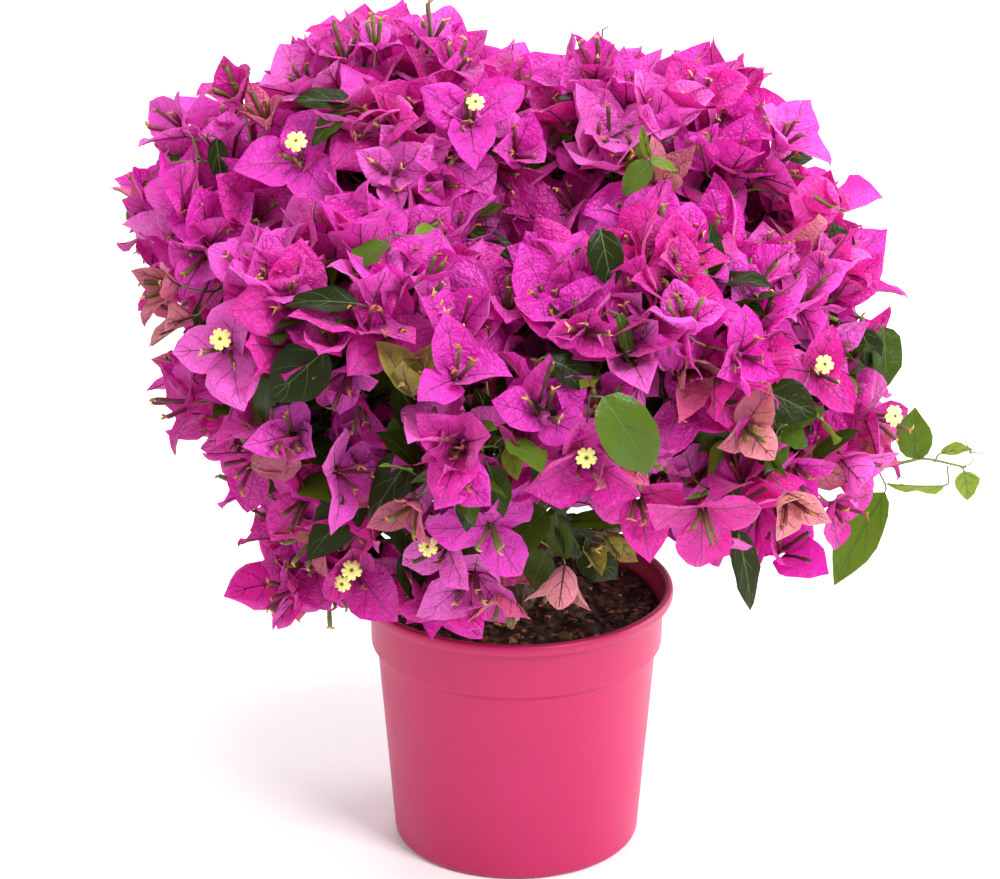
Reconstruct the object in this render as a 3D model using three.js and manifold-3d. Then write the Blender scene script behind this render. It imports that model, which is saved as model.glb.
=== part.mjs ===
// A bougainvillea bush grown in a 17 cm plastic nursery pot, in millimetres, +Z up.
// The origin is the middle of the pot's flat underside. +X is the side where a long young
// shoot leans out of the crown, and -Y is the side with the short skirts of hanging blossom.
//
// The pot is a thin moulded cup with a rolled lip, a wide collar and drain holes. It is filled
// with compost, and a short woody stem forks just above the compost into tapering boughs.
// Each bough ends where it enters a mass of bracts and leaves. The masses are uneven closed
// solids that meet their neighbours at a small gap, and together they make the round crown.
import * as THREE from "three";
import { mergeVertices } from "three/addons/utils/BufferGeometryUtils.js";
import Module from "manifold-3d";

const wasm = await Module();
wasm.setup();

// ---- driving dimensions, mm ----------------------------------------------------------------
const GAP = 0.35; // clearance that touching solids keep

const POT_HEIGHT = 146;
const LIP_RADIUS = 85;
const LIP_HEIGHT = 6.5;
const COLLAR_RADIUS = 79.4;
const COLLAR_BOTTOM = 117; // height at which the collar starts to step in
const BODY_TOP = 108; // height at which that step ends
const BODY_RADIUS = 75.5;
const BASE_RADIUS = 66.5;
const BASE_ROUND = 5; // radius between the side and the underside
const WALL = 2;
const FLOOR = 2.4;
const POT_SIDES = 36;
const DRAIN_HOLES = 8;
const DRAIN_RADIUS = 4.5;
const DRAIN_CIRCLE = 46;

const COMPOST_TOP = 133;
const COMPOST_SWELL = 2.2; // how far the compost's surface rises and falls
const COMPOST_FLAT = 22; // radius of the level patch that the stem stands on

const STEM_FOOT_RADIUS = 8.5;
const STEM_FLARE = 1.5; // how much wider the foot is than the stem just above it
const FORK_HEIGHT = 182;
const FORK_RADIUS = 6.5;
const STEM_LEAN = 5; // sideways lean of the fork, towards +X

const LUMP_DETAIL = 2; // how often the faces of each mass are divided

const BOUGH_SIDES = 6;
const BOUGH_STEPS = 5;

// ---- helpers -------------------------------------------------------------------------------

// A seeded stream of numbers from 0 to 1, the same on every run.
function seeded(seed) {
  let state = seed >>> 0;
  return () => {
    state = (Math.imul(state, 1664525) + 1013904223) >>> 0;
    return state / 4294967296;
  };
}

// A three.js geometry as a manifold-3d solid.
function solidOf(geometry) {
  const bare = new THREE.BufferGeometry();
  bare.setAttribute("position", geometry.getAttribute("position"));
  if (geometry.index) bare.setIndex(geometry.index);
  const merged = mergeVertices(bare, 1e-3);
  return new wasm.Manifold(
    new wasm.Mesh({
      numProp: 3,
      vertProperties: new Float32Array(merged.attributes.position.array),
      triVerts: new Uint32Array(merged.index.array),
    }),
  );
}

// A manifold-3d solid as a three.js geometry.
function geometryOf(solid) {
  const mesh = solid.getMesh();
  const geometry = new THREE.BufferGeometry();
  geometry.setAttribute("position", new THREE.BufferAttribute(new Float32Array(mesh.vertProperties), 3));
  geometry.setIndex(new THREE.BufferAttribute(new Uint32Array(mesh.triVerts), 1));
  geometry.computeVertexNormals();
  return geometry;
}

// The piece of a cut solid that holds or lies nearest to a point.
function pieceNearest(solid, point) {
  const distance = (piece) => {
    const { min, max } = piece.boundingBox();
    const box = new THREE.Box3(new THREE.Vector3(...min), new THREE.Vector3(...max));
    return box.distanceToPoint(point);
  };
  return solid.decompose().reduce((best, piece) => {
    const nearer = distance(piece) - distance(best);
    return nearer < 0 || (nearer === 0 && piece.volume() > best.volume()) ? piece : best;
  });
}

// The largest piece of a cut solid.
function largestPiece(solid) {
  return solid.decompose().reduce((best, piece) => (piece.volume() > best.volume() ? piece : best));
}

// A profile of [radius, height] points turned about +Z, with both ends on the axis.
function turned(profile, sides) {
  const points = profile.map(([radius, height]) => new THREE.Vector2(radius, height));
  return new THREE.LatheGeometry(points, sides).rotateX(Math.PI / 2);
}

// A round limb along a curve: a tapered cylinder whose rings are moved onto the curve.
function limb(curve, startRadius, endRadius, sides, steps, flare = 0) {
  const geometry = new THREE.CylinderGeometry(1, 1, 1, sides, steps);
  const frames = curve.computeFrenetFrames(steps, false);
  const position = geometry.getAttribute("position");
  const place = new THREE.Vector3();
  for (let i = 0; i < position.count; i++) {
    const along = position.getY(i) + 0.5;
    const step = Math.round(along * steps);
    const radius =
      THREE.MathUtils.lerp(startRadius, endRadius, along) * (1 + flare * Math.exp(-along * 9));
    place
      .copy(curve.getPointAt(along))
      .addScaledVector(frames.normals[step], position.getX(i) * radius)
      .addScaledVector(frames.binormals[step], -position.getZ(i) * radius);
    position.setXYZ(i, place.x, place.y, place.z);
  }
  return geometry;
}

// An uneven closed lump: a ball whose radius swells and sinks in a few seeded waves.
function lump(size, seed, grow = 0) {
  const random = seeded(seed * 7919 + 13);
  const waves = Array.from({ length: 5 }, () => ({
    way: new THREE.Vector3(random() - 0.5, random() - 0.5, random() - 0.5).normalize(),
    pitch: 2.4 + 3.2 * random(),
    phase: Math.PI * 2 * random(),
    height: 0.035 + 0.03 * random(),
  }));
  const geometry = new THREE.IcosahedronGeometry(1, LUMP_DETAIL);
  const position = geometry.getAttribute("position");
  const way = new THREE.Vector3();
  for (let i = 0; i < position.count; i++) {
    way.fromBufferAttribute(position, i).normalize();
    const swell = waves.reduce(
      (sum, wave) => sum + wave.height * Math.sin(wave.pitch * way.dot(wave.way) * Math.PI + wave.phase),
      0.97,
    );
    position.setXYZ(
      i,
      way.x * (size[0] * swell + grow),
      way.y * (size[1] * swell + grow),
      way.z * (size[2] * swell + grow),
    );
  }
  return geometry;
}

// ---- materials -----------------------------------------------------------------------------

function finish(colour, roughness) {
  return new THREE.MeshStandardMaterial({ color: colour, roughness, metalness: 0 });
}

const potPlastic = finish(0xd9447a, 0.42);
const compost = finish(0x33231a, 0.95);
const bark = finish(0x6b5a3e, 0.85);
const greenStem = finish(0x5a6b2e, 0.6);
const blossom = finish(0xdd2fae, 0.6);
const foliage = finish(0x3f6a28, 0.45);

const group = new THREE.Group();

function add(name, geometry, material) {
  const mesh = new THREE.Mesh(geometry, material);
  mesh.name = name;
  group.add(mesh);
}

// ---- pot -----------------------------------------------------------------------------------

// The side's outer radius where it leaves the base's round, on the line down from the body's top.
const sideSlope = (BODY_RADIUS - BASE_RADIUS) / BODY_TOP;
const sideRadius = (height) => BASE_RADIUS + sideSlope * height;

function potProfile() {
  const lipBottom = POT_HEIGHT - LIP_HEIGHT;
  const baseArc = [0, 30, 60, 90].map((degrees) => {
    const turn = THREE.MathUtils.degToRad(degrees);
    return [
      sideRadius(BASE_ROUND) - BASE_ROUND * (1 - Math.sin(turn)),
      BASE_ROUND * (1 - Math.cos(turn)),
    ];
  });
  const outside = [
    [0, 0],
    ...baseArc,
    [BODY_RADIUS, BODY_TOP],
    [COLLAR_RADIUS - 0.6, COLLAR_BOTTOM],
    [COLLAR_RADIUS, lipBottom - 0.5],
    [LIP_RADIUS - 1.2, lipBottom],
    [LIP_RADIUS, lipBottom + LIP_HEIGHT * 0.35],
    [LIP_RADIUS - 0.6, POT_HEIGHT - 1.4],
    [LIP_RADIUS - 2.4, POT_HEIGHT],
  ];
  const inside = [
    [COLLAR_RADIUS - WALL + 0.6, POT_HEIGHT - 0.6],
    [COLLAR_RADIUS - WALL, POT_HEIGHT - 3],
    [COLLAR_RADIUS - 0.6 - WALL, COLLAR_BOTTOM],
    [BODY_RADIUS - WALL, BODY_TOP],
    [sideRadius(BASE_ROUND) - WALL, BASE_ROUND + FLOOR],
    [sideRadius(0) - WALL - BASE_ROUND * 0.8, FLOOR],
    [0, FLOOR],
  ];
  return [...outside, ...inside];
}

function drainHole(turn) {
  return solidOf(
    new THREE.CylinderGeometry(DRAIN_RADIUS, DRAIN_RADIUS, 6 * FLOOR, 10)
      .rotateX(Math.PI / 2)
      .translate(DRAIN_CIRCLE * Math.cos(turn), DRAIN_CIRCLE * Math.sin(turn), 0),
  );
}

let pot = solidOf(turned(potProfile(), POT_SIDES));
for (let hole = 0; hole < DRAIN_HOLES; hole++) {
  pot = pot.subtract(drainHole((hole / DRAIN_HOLES) * Math.PI * 2));
}
add("pot", geometryOf(pot), potPlastic);

// ---- compost -------------------------------------------------------------------------------

// The compost fills the pot's inside at a small gap, and its surface is a little uneven.
function compostSolid() {
  const sides = 24;
  const edge = COLLAR_RADIUS - 0.6 - WALL - GAP - 0.2;
  const profile = [
    [0, FLOOR + GAP],
    [sideRadius(0) - WALL - BASE_ROUND - GAP, FLOOR + GAP],
    [sideRadius(BASE_ROUND) - WALL - GAP - 0.2, BASE_ROUND + FLOOR + GAP],
    [BODY_RADIUS - WALL - GAP - 0.2, BODY_TOP + GAP],
    [edge, COLLAR_BOTTOM + GAP],
    [edge, COMPOST_TOP - COMPOST_SWELL],
    [edge - 8, COMPOST_TOP],
    [edge - 26, COMPOST_TOP],
    [COMPOST_FLAT, COMPOST_TOP],
    [0, COMPOST_TOP],
  ];
  const geometry = turned(profile, sides);
  const position = geometry.getAttribute("position");
  for (let i = 0; i < position.count; i++) {
    const [x, y, z] = [position.getX(i), position.getY(i), position.getZ(i)];
    const out = Math.hypot(x, y);
    if (z > COMPOST_TOP - 0.1 && out > COMPOST_FLAT + 1) {
      const turn = Math.atan2(y, x);
      position.setZ(i, z + COMPOST_SWELL * Math.sin(3 * turn + out * 0.11) * Math.cos(2 * turn + 1));
    }
  }
  return solidOf(geometry);
}

add("compost", geometryOf(compostSolid()), compost);

// ---- masses of blossom and leaves ----------------------------------------------------------

// Each mass is a name, the place of its middle, and its half sizes. Higher masses come first,
// and each later one is cut back where it meets those before it.
const masses = [
  { name: "top_left_mass", at: [-58, 8, 392], size: [76, 82, 61] },
  { name: "top_right_mass", at: [64, 22, 376], size: [80, 84, 60] },
  { name: "top_back_mass", at: [-2, 112, 346], size: [90, 74, 64] },
  { name: "front_left_shoulder_mass", at: [-78, -88, 332], size: [80, 70, 60] },
  { name: "front_right_shoulder_mass", at: [62, -92, 326], size: [84, 72, 62] },
  { name: "left_mass", at: [-141, 20, 346], size: [66, 80, 64] },
  { name: "right_mass", at: [134, 10, 316], size: [62, 84, 66] },
  { name: "back_left_mass", at: [-116, 104, 284], size: [74, 74, 64] },
  { name: "back_right_mass", at: [112, 108, 280], size: [74, 74, 64] },
  { name: "front_mass", at: [-8, -136, 274], size: [76, 58, 52] },
  { name: "low_back_mass", at: [0, 148, 246], size: [84, 58, 54] },
  { name: "low_front_left_mass", at: [-88, -84, 260], size: [64, 64, 48] },
  { name: "low_front_right_mass", at: [104, -86, 252], size: [76, 66, 48] },
  { name: "low_left_mass", at: [-136, 18, 260], size: [56, 74, 46] },
  { name: "low_right_mass", at: [146, 14, 248], size: [58, 76, 46] },
  { name: "left_skirt_mass", at: [-104, -56, 186], size: [42, 38, 36] },
  { name: "front_skirt_mass", at: [-30, -86, 190], size: [38, 28, 32] },
  { name: "right_skirt_mass", at: [114, -24, 196], size: [44, 38, 30] },
];

// ---- stem and boughs -----------------------------------------------------------------------

const fork = new THREE.Vector3(STEM_LEAN, 0, FORK_HEIGHT);
const groundLevel = COMPOST_TOP + GAP;
const stemFoot = new THREE.Vector3(0, 0, groundLevel - 4);
const stemCurve = new THREE.CatmullRomCurve3([
  stemFoot,
  new THREE.Vector3(-1, 1, (COMPOST_TOP + FORK_HEIGHT) / 2),
  fork,
]);

// The stem is made a little too long at the foot and cut off flat at ground level.
function stemSolid(grow) {
  return solidOf(
    limb(stemCurve, STEM_FOOT_RADIUS + grow, FORK_RADIUS + grow, 12, 10, STEM_FLARE - 1),
  ).trimByPlane([0, 0, 1], groundLevel);
}

// Each bough leaves the stem at a share of its height and rises into the mass that it names.
// Its start radius follows the size of that mass.
const boughs = [
  { name: "left_top_bough", into: "top_left_mass", from: 0.97, rise: 0.75, radius: 5.2 },
  { name: "right_top_bough", into: "top_right_mass", from: 0.95, rise: 0.75, radius: 5.0 },
  { name: "back_top_bough", into: "top_back_mass", from: 0.9, rise: 0.6, radius: 4.6 },
  { name: "left_front_bough", into: "front_left_shoulder_mass", from: 0.86, rise: 0.55, radius: 4.4 },
  { name: "right_front_bough", into: "front_right_shoulder_mass", from: 0.88, rise: 0.55, radius: 4.4 },
  { name: "left_bough", into: "left_mass", from: 0.8, rise: 0.5, radius: 4.4 },
  { name: "right_bough", into: "right_mass", from: 0.78, rise: 0.5, radius: 4.4 },
  { name: "back_left_bough", into: "back_left_mass", from: 0.74, rise: 0.45, radius: 4.0 },
  { name: "back_right_bough", into: "back_right_mass", from: 0.7, rise: 0.45, radius: 4.0 },
  { name: "front_bough", into: "front_mass", from: 0.72, rise: 0.5, radius: 3.6 },
  { name: "low_back_bough", into: "low_back_mass", from: 0.62, rise: 0.4, radius: 3.4 },
  { name: "low_left_front_bough", into: "low_front_left_mass", from: 0.6, rise: 0.42, radius: 3.4 },
  { name: "low_right_front_bough", into: "low_front_right_mass", from: 0.64, rise: 0.42, radius: 3.4 },
  { name: "low_left_bough", into: "low_left_mass", from: 0.55, rise: 0.4, radius: 3.2 },
  { name: "low_right_bough", into: "low_right_mass", from: 0.52, rise: 0.4, radius: 3.2 },
];

const massNamed = new Map(masses.map((mass, index) => [mass.name, { ...mass, seed: index + 1 }]));

function massSolid({ at, size, seed }, grow = 0) {
  return solidOf(lump(size, seed, grow)).translate(at);
}

// A bough bends upwards: it leaves the stem outwards, and its middle lies below the straight line.
function boughCurve({ into, from, rise }) {
  const start = stemCurve.getPointAt(from);
  const end = new THREE.Vector3(...massNamed.get(into).at);
  const middle = start.clone().lerp(end, 0.5);
  middle.z = THREE.MathUtils.lerp(start.z, end.z, rise * 0.8);
  return new THREE.CatmullRomCurve3([start, middle, end]);
}

function boughSolid(bough, grow) {
  const radius = bough.radius;
  return solidOf(
    limb(boughCurve(bough), radius + grow, radius * 0.45 + grow, BOUGH_SIDES, BOUGH_STEPS),
  );
}

// ---- the long young shoot ------------------------------------------------------------------

// It leaves the lower right of the crown almost level, and carries a big hanging leaf, a leaf
// beside the crown and a curled tip of small leaves.
const SHOOT_RADIUS = 1.6;
const shootCurve = new THREE.CatmullRomCurve3([
  new THREE.Vector3(150, 0, 222),
  new THREE.Vector3(188, -4, 214),
  new THREE.Vector3(214, -6, 220),
  new THREE.Vector3(232, -8, 221),
]);

const shootMasses = [
  { name: "shoot_tip_leaves", at: [235, -8, 219], size: [16, 12, 18], seed: 31 },
  { name: "shoot_hanging_leaf", at: [186, -10, 186], size: [17, 8, 26], seed: 32 },
  { name: "shoot_side_leaf", at: [207, 4, 239], size: [12, 8, 15], seed: 33 },
];

// ---- assembly ------------------------------------------------------------------------------

// The stem stands whole. Each bough is cut by the stem and by the boughs before it.
const stem = stemSolid(0);
add("stem", geometryOf(stem), bark);

const grownMasses = [...massNamed.values()].map((mass) => massSolid(mass, GAP));
const allMasses = wasm.Manifold.union(grownMasses);

let woodSoFar = stemSolid(GAP);
for (const bough of boughs) {
  const free = boughSolid(bough, 0).subtract(woodSoFar).subtract(allMasses);
  add(bough.name, geometryOf(pieceNearest(free, fork)), bark);
  woodSoFar = woodSoFar.add(boughSolid(bough, GAP));
}

const shootGrown = solidOf(limb(shootCurve, SHOOT_RADIUS + GAP, 0.5 * SHOOT_RADIUS + GAP, 8, 16));
const shootMassesGrown = wasm.Manifold.union(shootMasses.map((mass) => massSolid(mass, GAP)));

// Each mass is cut back from the masses before it and from the stem.
let massesSoFar = stemSolid(GAP);
for (const mass of massNamed.values()) {
  const cut = massSolid(mass).subtract(massesSoFar);
  add(mass.name, geometryOf(largestPiece(cut)), blossom);
  massesSoFar = massesSoFar.add(massSolid(mass, GAP));
}

const shoot = solidOf(limb(shootCurve, SHOOT_RADIUS, 0.5 * SHOOT_RADIUS, 8, 16));
const shootEnd = shootCurve.getPointAt(0.9);
const shootFree = shoot.subtract(allMasses).subtract(shootMassesGrown);
add("side_shoot", geometryOf(pieceNearest(shootFree, shootEnd)), greenStem);
for (const mass of shootMasses) {
  const cut = massSolid(mass).subtract(massesSoFar).subtract(shootGrown);
  add(mass.name, geometryOf(largestPiece(cut)), foliage);
}

export default group;
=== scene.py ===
import math

import bpy
import numpy as np
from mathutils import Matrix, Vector
from mathutils.bvhtree import BVHTree


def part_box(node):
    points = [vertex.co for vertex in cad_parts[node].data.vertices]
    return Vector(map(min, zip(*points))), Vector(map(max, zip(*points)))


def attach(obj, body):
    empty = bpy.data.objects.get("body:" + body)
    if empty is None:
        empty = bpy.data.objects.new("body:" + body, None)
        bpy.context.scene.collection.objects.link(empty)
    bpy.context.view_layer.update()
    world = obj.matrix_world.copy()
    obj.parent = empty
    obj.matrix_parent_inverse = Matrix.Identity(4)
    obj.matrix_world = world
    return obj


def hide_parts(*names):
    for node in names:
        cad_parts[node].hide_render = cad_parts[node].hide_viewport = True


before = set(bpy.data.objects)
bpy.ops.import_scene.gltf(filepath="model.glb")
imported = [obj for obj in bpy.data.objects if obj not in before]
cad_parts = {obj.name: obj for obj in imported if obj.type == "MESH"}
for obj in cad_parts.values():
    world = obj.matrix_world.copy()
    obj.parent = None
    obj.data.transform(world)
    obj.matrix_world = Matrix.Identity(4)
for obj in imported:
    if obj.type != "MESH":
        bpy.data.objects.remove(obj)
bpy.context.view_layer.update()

# ---- pot -----------------------------------------------------------------------------------
# A round 17 cm nursery pot, injection moulded in one piece from pink polypropylene. It tapers to a
# rounded foot, and has a stacking collar, a rolled lip to lift it by and drain holes in its floor.
MM = 0.001
pot_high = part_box("pot")[1]
LIP_RADIUS = pot_high.x / MM
POT_HEIGHT = pot_high.z / MM
LIP_DROP = 6.5  # height of the rolled lip
WALL = 2.0
POT_FLOOR = 2.4
DRAIN_HOLES = 8
DRAIN_RADIUS = 4.5
DRAIN_CIRCLE = 46.0
POT_SIDES = 180
FLOOR_DISC = 3  # radius of the flat faces that close the floor in its middle


def rounded(corners, steps=7):
    """An outline of (radius, height, rounding) corners: each corner is replaced by a curve that leaves
    one side and joins the next at the rounding's distance, (1-s)^2 a + 2s(1-s) corner + s^2 b."""
    place = np.array([corner[:2] for corner in corners])
    points = [place[:1]]
    share = np.linspace(0, 1, steps)[:, None]
    for before, corner, after, (_, _, rounding) in zip(place, place[1:], place[2:], corners[1:]):
        leave = corner + rounding * (before - corner) / np.linalg.norm(before - corner)
        join = corner + rounding * (after - corner) / np.linalg.norm(after - corner)
        points.append((1 - share) ** 2 * leave + 2 * share * (1 - share) * corner + share**2 * join)
    return np.vstack([*points, place[-1:]])


def turned(profile, sides):
    """A profile of (radius, height) in millimetres turned about +Z, as a grid of points in metres."""
    angle = np.linspace(0, 2 * np.pi, sides, endpoint=False)
    radius = profile[:, :1]
    height = np.broadcast_to(profile[:, 1:], (len(profile), sides))
    return np.stack([radius * np.cos(angle), radius * np.sin(angle), height], axis=-1) * MM


def piece(name, grids, material, closed=False, capped=False, uv=None, smooth=True):
    """One object from many like grids of points, (grids, rows, columns, 3). Each cell is a face. Closed
    grids join their last column to their first, and capped ones have a face over each end row."""
    count, rows, columns = grids.shape[:3]
    index = np.arange(count * rows * columns).reshape(count, rows, columns)
    here = index if closed else index[:, :, :-1]
    beside = np.roll(index, -1, axis=2) if closed else index[:, :, 1:]
    cells = np.stack([here[:, :-1], beside[:, :-1], beside[:, 1:], here[:, 1:]], axis=-1).reshape(-1, 4)
    ends = np.vstack([index[:, 0, ::-1], index[:, -1]]) if capped else np.empty((0, columns), int)
    corners = np.concatenate([cells.ravel(), ends.ravel()])
    sizes = np.concatenate([np.full(len(cells), 4), np.full(len(ends), columns)])
    mesh = bpy.data.meshes.new(name)
    mesh.vertices.add(index.size)
    mesh.vertices.foreach_set("co", grids.astype(np.float32).ravel())
    mesh.loops.add(len(corners))
    mesh.loops.foreach_set("vertex_index", corners.astype(np.int32))
    mesh.polygons.add(len(sizes))
    mesh.polygons.foreach_set("loop_start", (np.cumsum(sizes) - sizes).astype(np.int32))
    mesh.polygons.foreach_set("use_smooth", np.full(len(sizes), smooth))
    if uv is not None:
        layer = mesh.uv_layers.new(name="UVMap")
        layer.data.foreach_set("uv", uv.reshape(-1, 2)[corners].astype(np.float32).ravel())
    mesh.update(calc_edges=True)
    mesh.validate()
    mesh.materials.append(material)
    made = bpy.data.objects.new(name, mesh)
    bpy.context.scene.collection.objects.link(made)
    return made


def linear(colour):
    """An sRGB hex colour as linear red, green, blue and alpha."""
    part = np.array([int(colour[i : i + 2], 16) for i in (1, 3, 5)]) / 255
    part = np.where(part <= 0.04045, part / 12.92, ((part + 0.055) / 1.055) ** 2.4)
    return (*part.tolist(), 1.0)


def add_node(tree, kind, settings, links=()):
    """Adds one node. settings gives its own values and its inputs' values, and links joins its inputs
    to other nodes' outputs."""
    made = tree.nodes.new(kind)
    for name, value in settings.items():
        if isinstance(name, str) and hasattr(made, name):
            setattr(made, name, value)
        else:
            made.inputs[name].default_value = value
    for name, source in dict(links).items():
        tree.links.new(source, made.inputs[name])
    return made


def new_material(name, rows):
    """A material from rows of (key, kind of node, settings, links). A link gives the key of the row it
    comes from and that row's output, and the last row is the surface's shader."""
    material = bpy.data.materials.new(name)
    material.use_nodes = True
    tree = material.node_tree
    tree.nodes.clear()
    made = {}
    for key, kind, settings, links in rows:
        sources = {socket: made[row].outputs[output] for socket, (row, output) in links.items()}
        made[key] = add_node(tree, "ShaderNode" + kind, settings, sources)
    add_node(tree, "ShaderNodeOutputMaterial", {}, {"Surface": made[key].outputs[0]})
    return material


FRAME_PLACE = ("place", "TexCoord", {}, {})  # patterns that follow the frame, in metres
NOISE_SPAN = {"From Min": 0.3, "From Max": 0.7}  # the values that a noise mostly keeps to
TONE_AND_RELIEF = {"Base Color": ("tone", 2), "Normal": ("relief", 0)}

# Polypropylene, dyed through: an even satin colour, with slow changes of gloss where the melt flowed
# and the grain of the mould. The grain is drawn coarser than the real one, so that it shows.
FLOW_WIDTH = 35.7 * MM
MOULD_GRAIN = 0.714 * MM
pink_tones = {"data_type": "RGBA", 6: linear("#ac1650"), 7: linear("#b41c58")}
polypropylene = new_material(
    "moulded_polypropylene",
    [
        FRAME_PLACE,
        ("flow", "TexNoise", {"Scale": 1 / FLOW_WIDTH, "Detail": 3.0}, {"Vector": ("place", "Object")}),
        ("grain", "TexNoise", {"Scale": 1 / MOULD_GRAIN, "Detail": 2.0}, {"Vector": ("place", "Object")}),
        ("gloss", "MapRange", {**NOISE_SPAN, "To Min": 0.36, "To Max": 0.46}, {"Value": ("flow", "Fac")}),
        ("tone", "Mix", pink_tones, {0: ("flow", "Fac")}),
        ("relief", "Bump", {"Strength": 0.12, "Distance": 0.1 * MM}, {"Height": ("grain", "Fac")}),
        (
            "skin",
            "BsdfPrincipled",
            {"IOR": 1.49, "Specular IOR Level": 0.38, "Subsurface Weight": 0.08, "Subsurface Scale": 2 * MM},
            {**TONE_AND_RELIEF, "Roughness": ("gloss", 0)},
        ),
    ],
)

collar_radius = LIP_RADIUS - 5.6
body_radius = LIP_RADIUS - 9.5
base_radius = LIP_RADIUS - 18.5
collar_height = POT_HEIGHT - 32
step_height = POT_HEIGHT - 35
lip_bottom = POT_HEIGHT - LIP_DROP
pot_profile = rounded(
    [
        (FLOOR_DISC, 0.8, 0),
        (base_radius - 13, 0.8, 0.5),
        (base_radius - 12, 0, 0.4),
        (base_radius, 0, 4.2),
        (body_radius, step_height, 1.0),
        (collar_radius - 0.6, collar_height, 1.4),
        (collar_radius, lip_bottom, 0.5),
        (LIP_RADIUS - 0.9, lip_bottom, 1.2),
        (LIP_RADIUS, lip_bottom + 2.6, 1.2),
        (LIP_RADIUS - 0.6, POT_HEIGHT, 2.2),
        (LIP_RADIUS - 4.3, POT_HEIGHT, 1.9),
        (LIP_RADIUS - 5.4, POT_HEIGHT - 5.5, 2.2),
        (collar_radius - WALL, POT_HEIGHT - 12, 2.5),
        (collar_radius - 0.6 - WALL, collar_height, 2.0),
        (body_radius - WALL, step_height, 2.0),
        (base_radius - WALL, POT_FLOOR, 3.0),
        (FLOOR_DISC, POT_FLOOR, 0),
    ]
)
pot_grid = turned(pot_profile, POT_SIDES)[None]
pot = piece("pot_shell", pot_grid, polypropylene, closed=True, capped=True)

# The drain holes are cut through the moulded floor.
drain_angle = np.arange(DRAIN_HOLES) / DRAIN_HOLES * 2 * np.pi
drain_middle = np.stack([np.cos(drain_angle), np.sin(drain_angle), 0 * drain_angle], -1) * DRAIN_CIRCLE
drain_profile = np.array([(DRAIN_RADIUS, -3.0), (DRAIN_RADIUS, 3 * POT_FLOOR)])
drain_walls = turned(drain_profile, 24)[None] + drain_middle[:, None, None] * MM
drain_cutter = piece("drain_cutter", drain_walls, polypropylene, closed=True, capped=True)
cut = pot.modifiers.new("drain_holes", "BOOLEAN")
cut.object = drain_cutter
bpy.context.view_layer.objects.active = pot
bpy.ops.object.modifier_apply(modifier=cut.name)
bpy.data.objects.remove(drain_cutter)
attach(pot, "root")
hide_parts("pot")

# ---- compost -------------------------------------------------------------------------------
# Peat and bark compost, watered in and settled a little below the rim. Its surface is crumbly, with
# loose chips of bark, pale roots and fibres, and a few grains of perlite lying on it.
COMPOST_TOP = 133.0
COMPOST_FLOOR = 3.0
random = np.random.default_rng(11)


def crumbled(radius, angle, crumbs):
    """Height of the compost: slow waves round the pot, and a rounded crumb of random size and height
    at each random place, height times exp(-(distance / size)^2)."""
    x = radius * np.cos(angle)
    y = radius * np.sin(angle)
    height = 1.4 * np.sin(0.05 * x + 1) * np.cos(0.06 * y)
    for middle_x, middle_y, size, lift in crumbs:
        height += lift * np.exp(-((x - middle_x) ** 2 + (y - middle_y) ** 2) / size**2)
    return COMPOST_TOP + height


CRUMBS = 420
COMPOST_RINGS = 64
COMPOST_SIDES = 200
compost_radius = collar_radius - WALL - 1.1
crumbs = np.stack(
    [
        random.uniform(-compost_radius, compost_radius, CRUMBS),
        random.uniform(-compost_radius, compost_radius, CRUMBS),
        random.uniform(2.2, 6.5, CRUMBS),
        random.uniform(-2.6, 3.4, CRUMBS),
    ],
    axis=-1,
)
ring = np.linspace(0.01, 1, COMPOST_RINGS)[:, None] * compost_radius
turn = np.linspace(0, 2 * np.pi, COMPOST_SIDES, endpoint=False)[None]
top_height = crumbled(ring, turn, crumbs)
wall_rings = np.array([(compost_radius, COMPOST_TOP - 5), (base_radius - 5, COMPOST_FLOOR)])
compost_grid = np.concatenate(
    [
        turned(wall_rings[::-1], COMPOST_SIDES),
        np.stack([ring * np.cos(turn), ring * np.sin(turn), top_height], axis=-1)[::-1] * MM,
    ]
)


# Moist peat with composted bark: nearly black brown with redder crumbs about 3 mm wide, quite matt,
# with a very rough relief.
peat_tones = {"data_type": "RGBA", 6: linear("#1f140d"), 7: linear("#5e432b")}
peat = new_material(
    "moist_peat_compost",
    [
        FRAME_PLACE,
        ("crumb", "TexNoise", {"Scale": 1 / (3.03 * MM), "Detail": 5.0}, {"Vector": ("place", "Object")}),
        ("spread", "MapRange", {"From Min": 0.38, "From Max": 0.68}, {"Value": ("crumb", "Fac")}),
        ("tone", "Mix", peat_tones, {0: ("spread", 0)}),
        ("relief", "Bump", {"Strength": 0.9, "Distance": 1.2 * MM}, {"Height": ("crumb", "Fac")}),
        ("skin", "BsdfPrincipled", {"Roughness": 0.85}, TONE_AND_RELIEF),
    ],
)
compost = piece("compost_bed", compost_grid[None], peat, closed=True, capped=True)
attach(compost, "root")
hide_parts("compost")


def matt(name, colour, roughness, grain, depth, detail=3.0, strength=0.7):
    """A natural surface of one colour, with a relief of grains of one size and depth in millimetres."""
    surface = {"Base Color": linear(colour), "Roughness": roughness}
    noise = {"Scale": 0.5 / (grain * MM), "Detail": detail}
    bump = {"Strength": strength, "Distance": depth * MM}
    return new_material(
        name,
        [
            FRAME_PLACE,
            ("grains", "TexNoise", noise, {"Vector": ("place", "Object")}),
            ("relief", "Bump", bump, {"Height": ("grains", "Fac")}),
            ("skin", "BsdfPrincipled", surface, {"Normal": ("relief", 0)}),
        ],
    )


def unit(vectors):
    """The vectors at length one."""
    return vectors / np.maximum(np.linalg.norm(vectors, axis=-1, keepdims=True), 1e-9)


def square_to(axis, vectors):
    """The part of each vector that is square to its axis, at length one."""
    return unit(vectors - (vectors * axis).sum(-1, keepdims=True) * axis)


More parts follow.
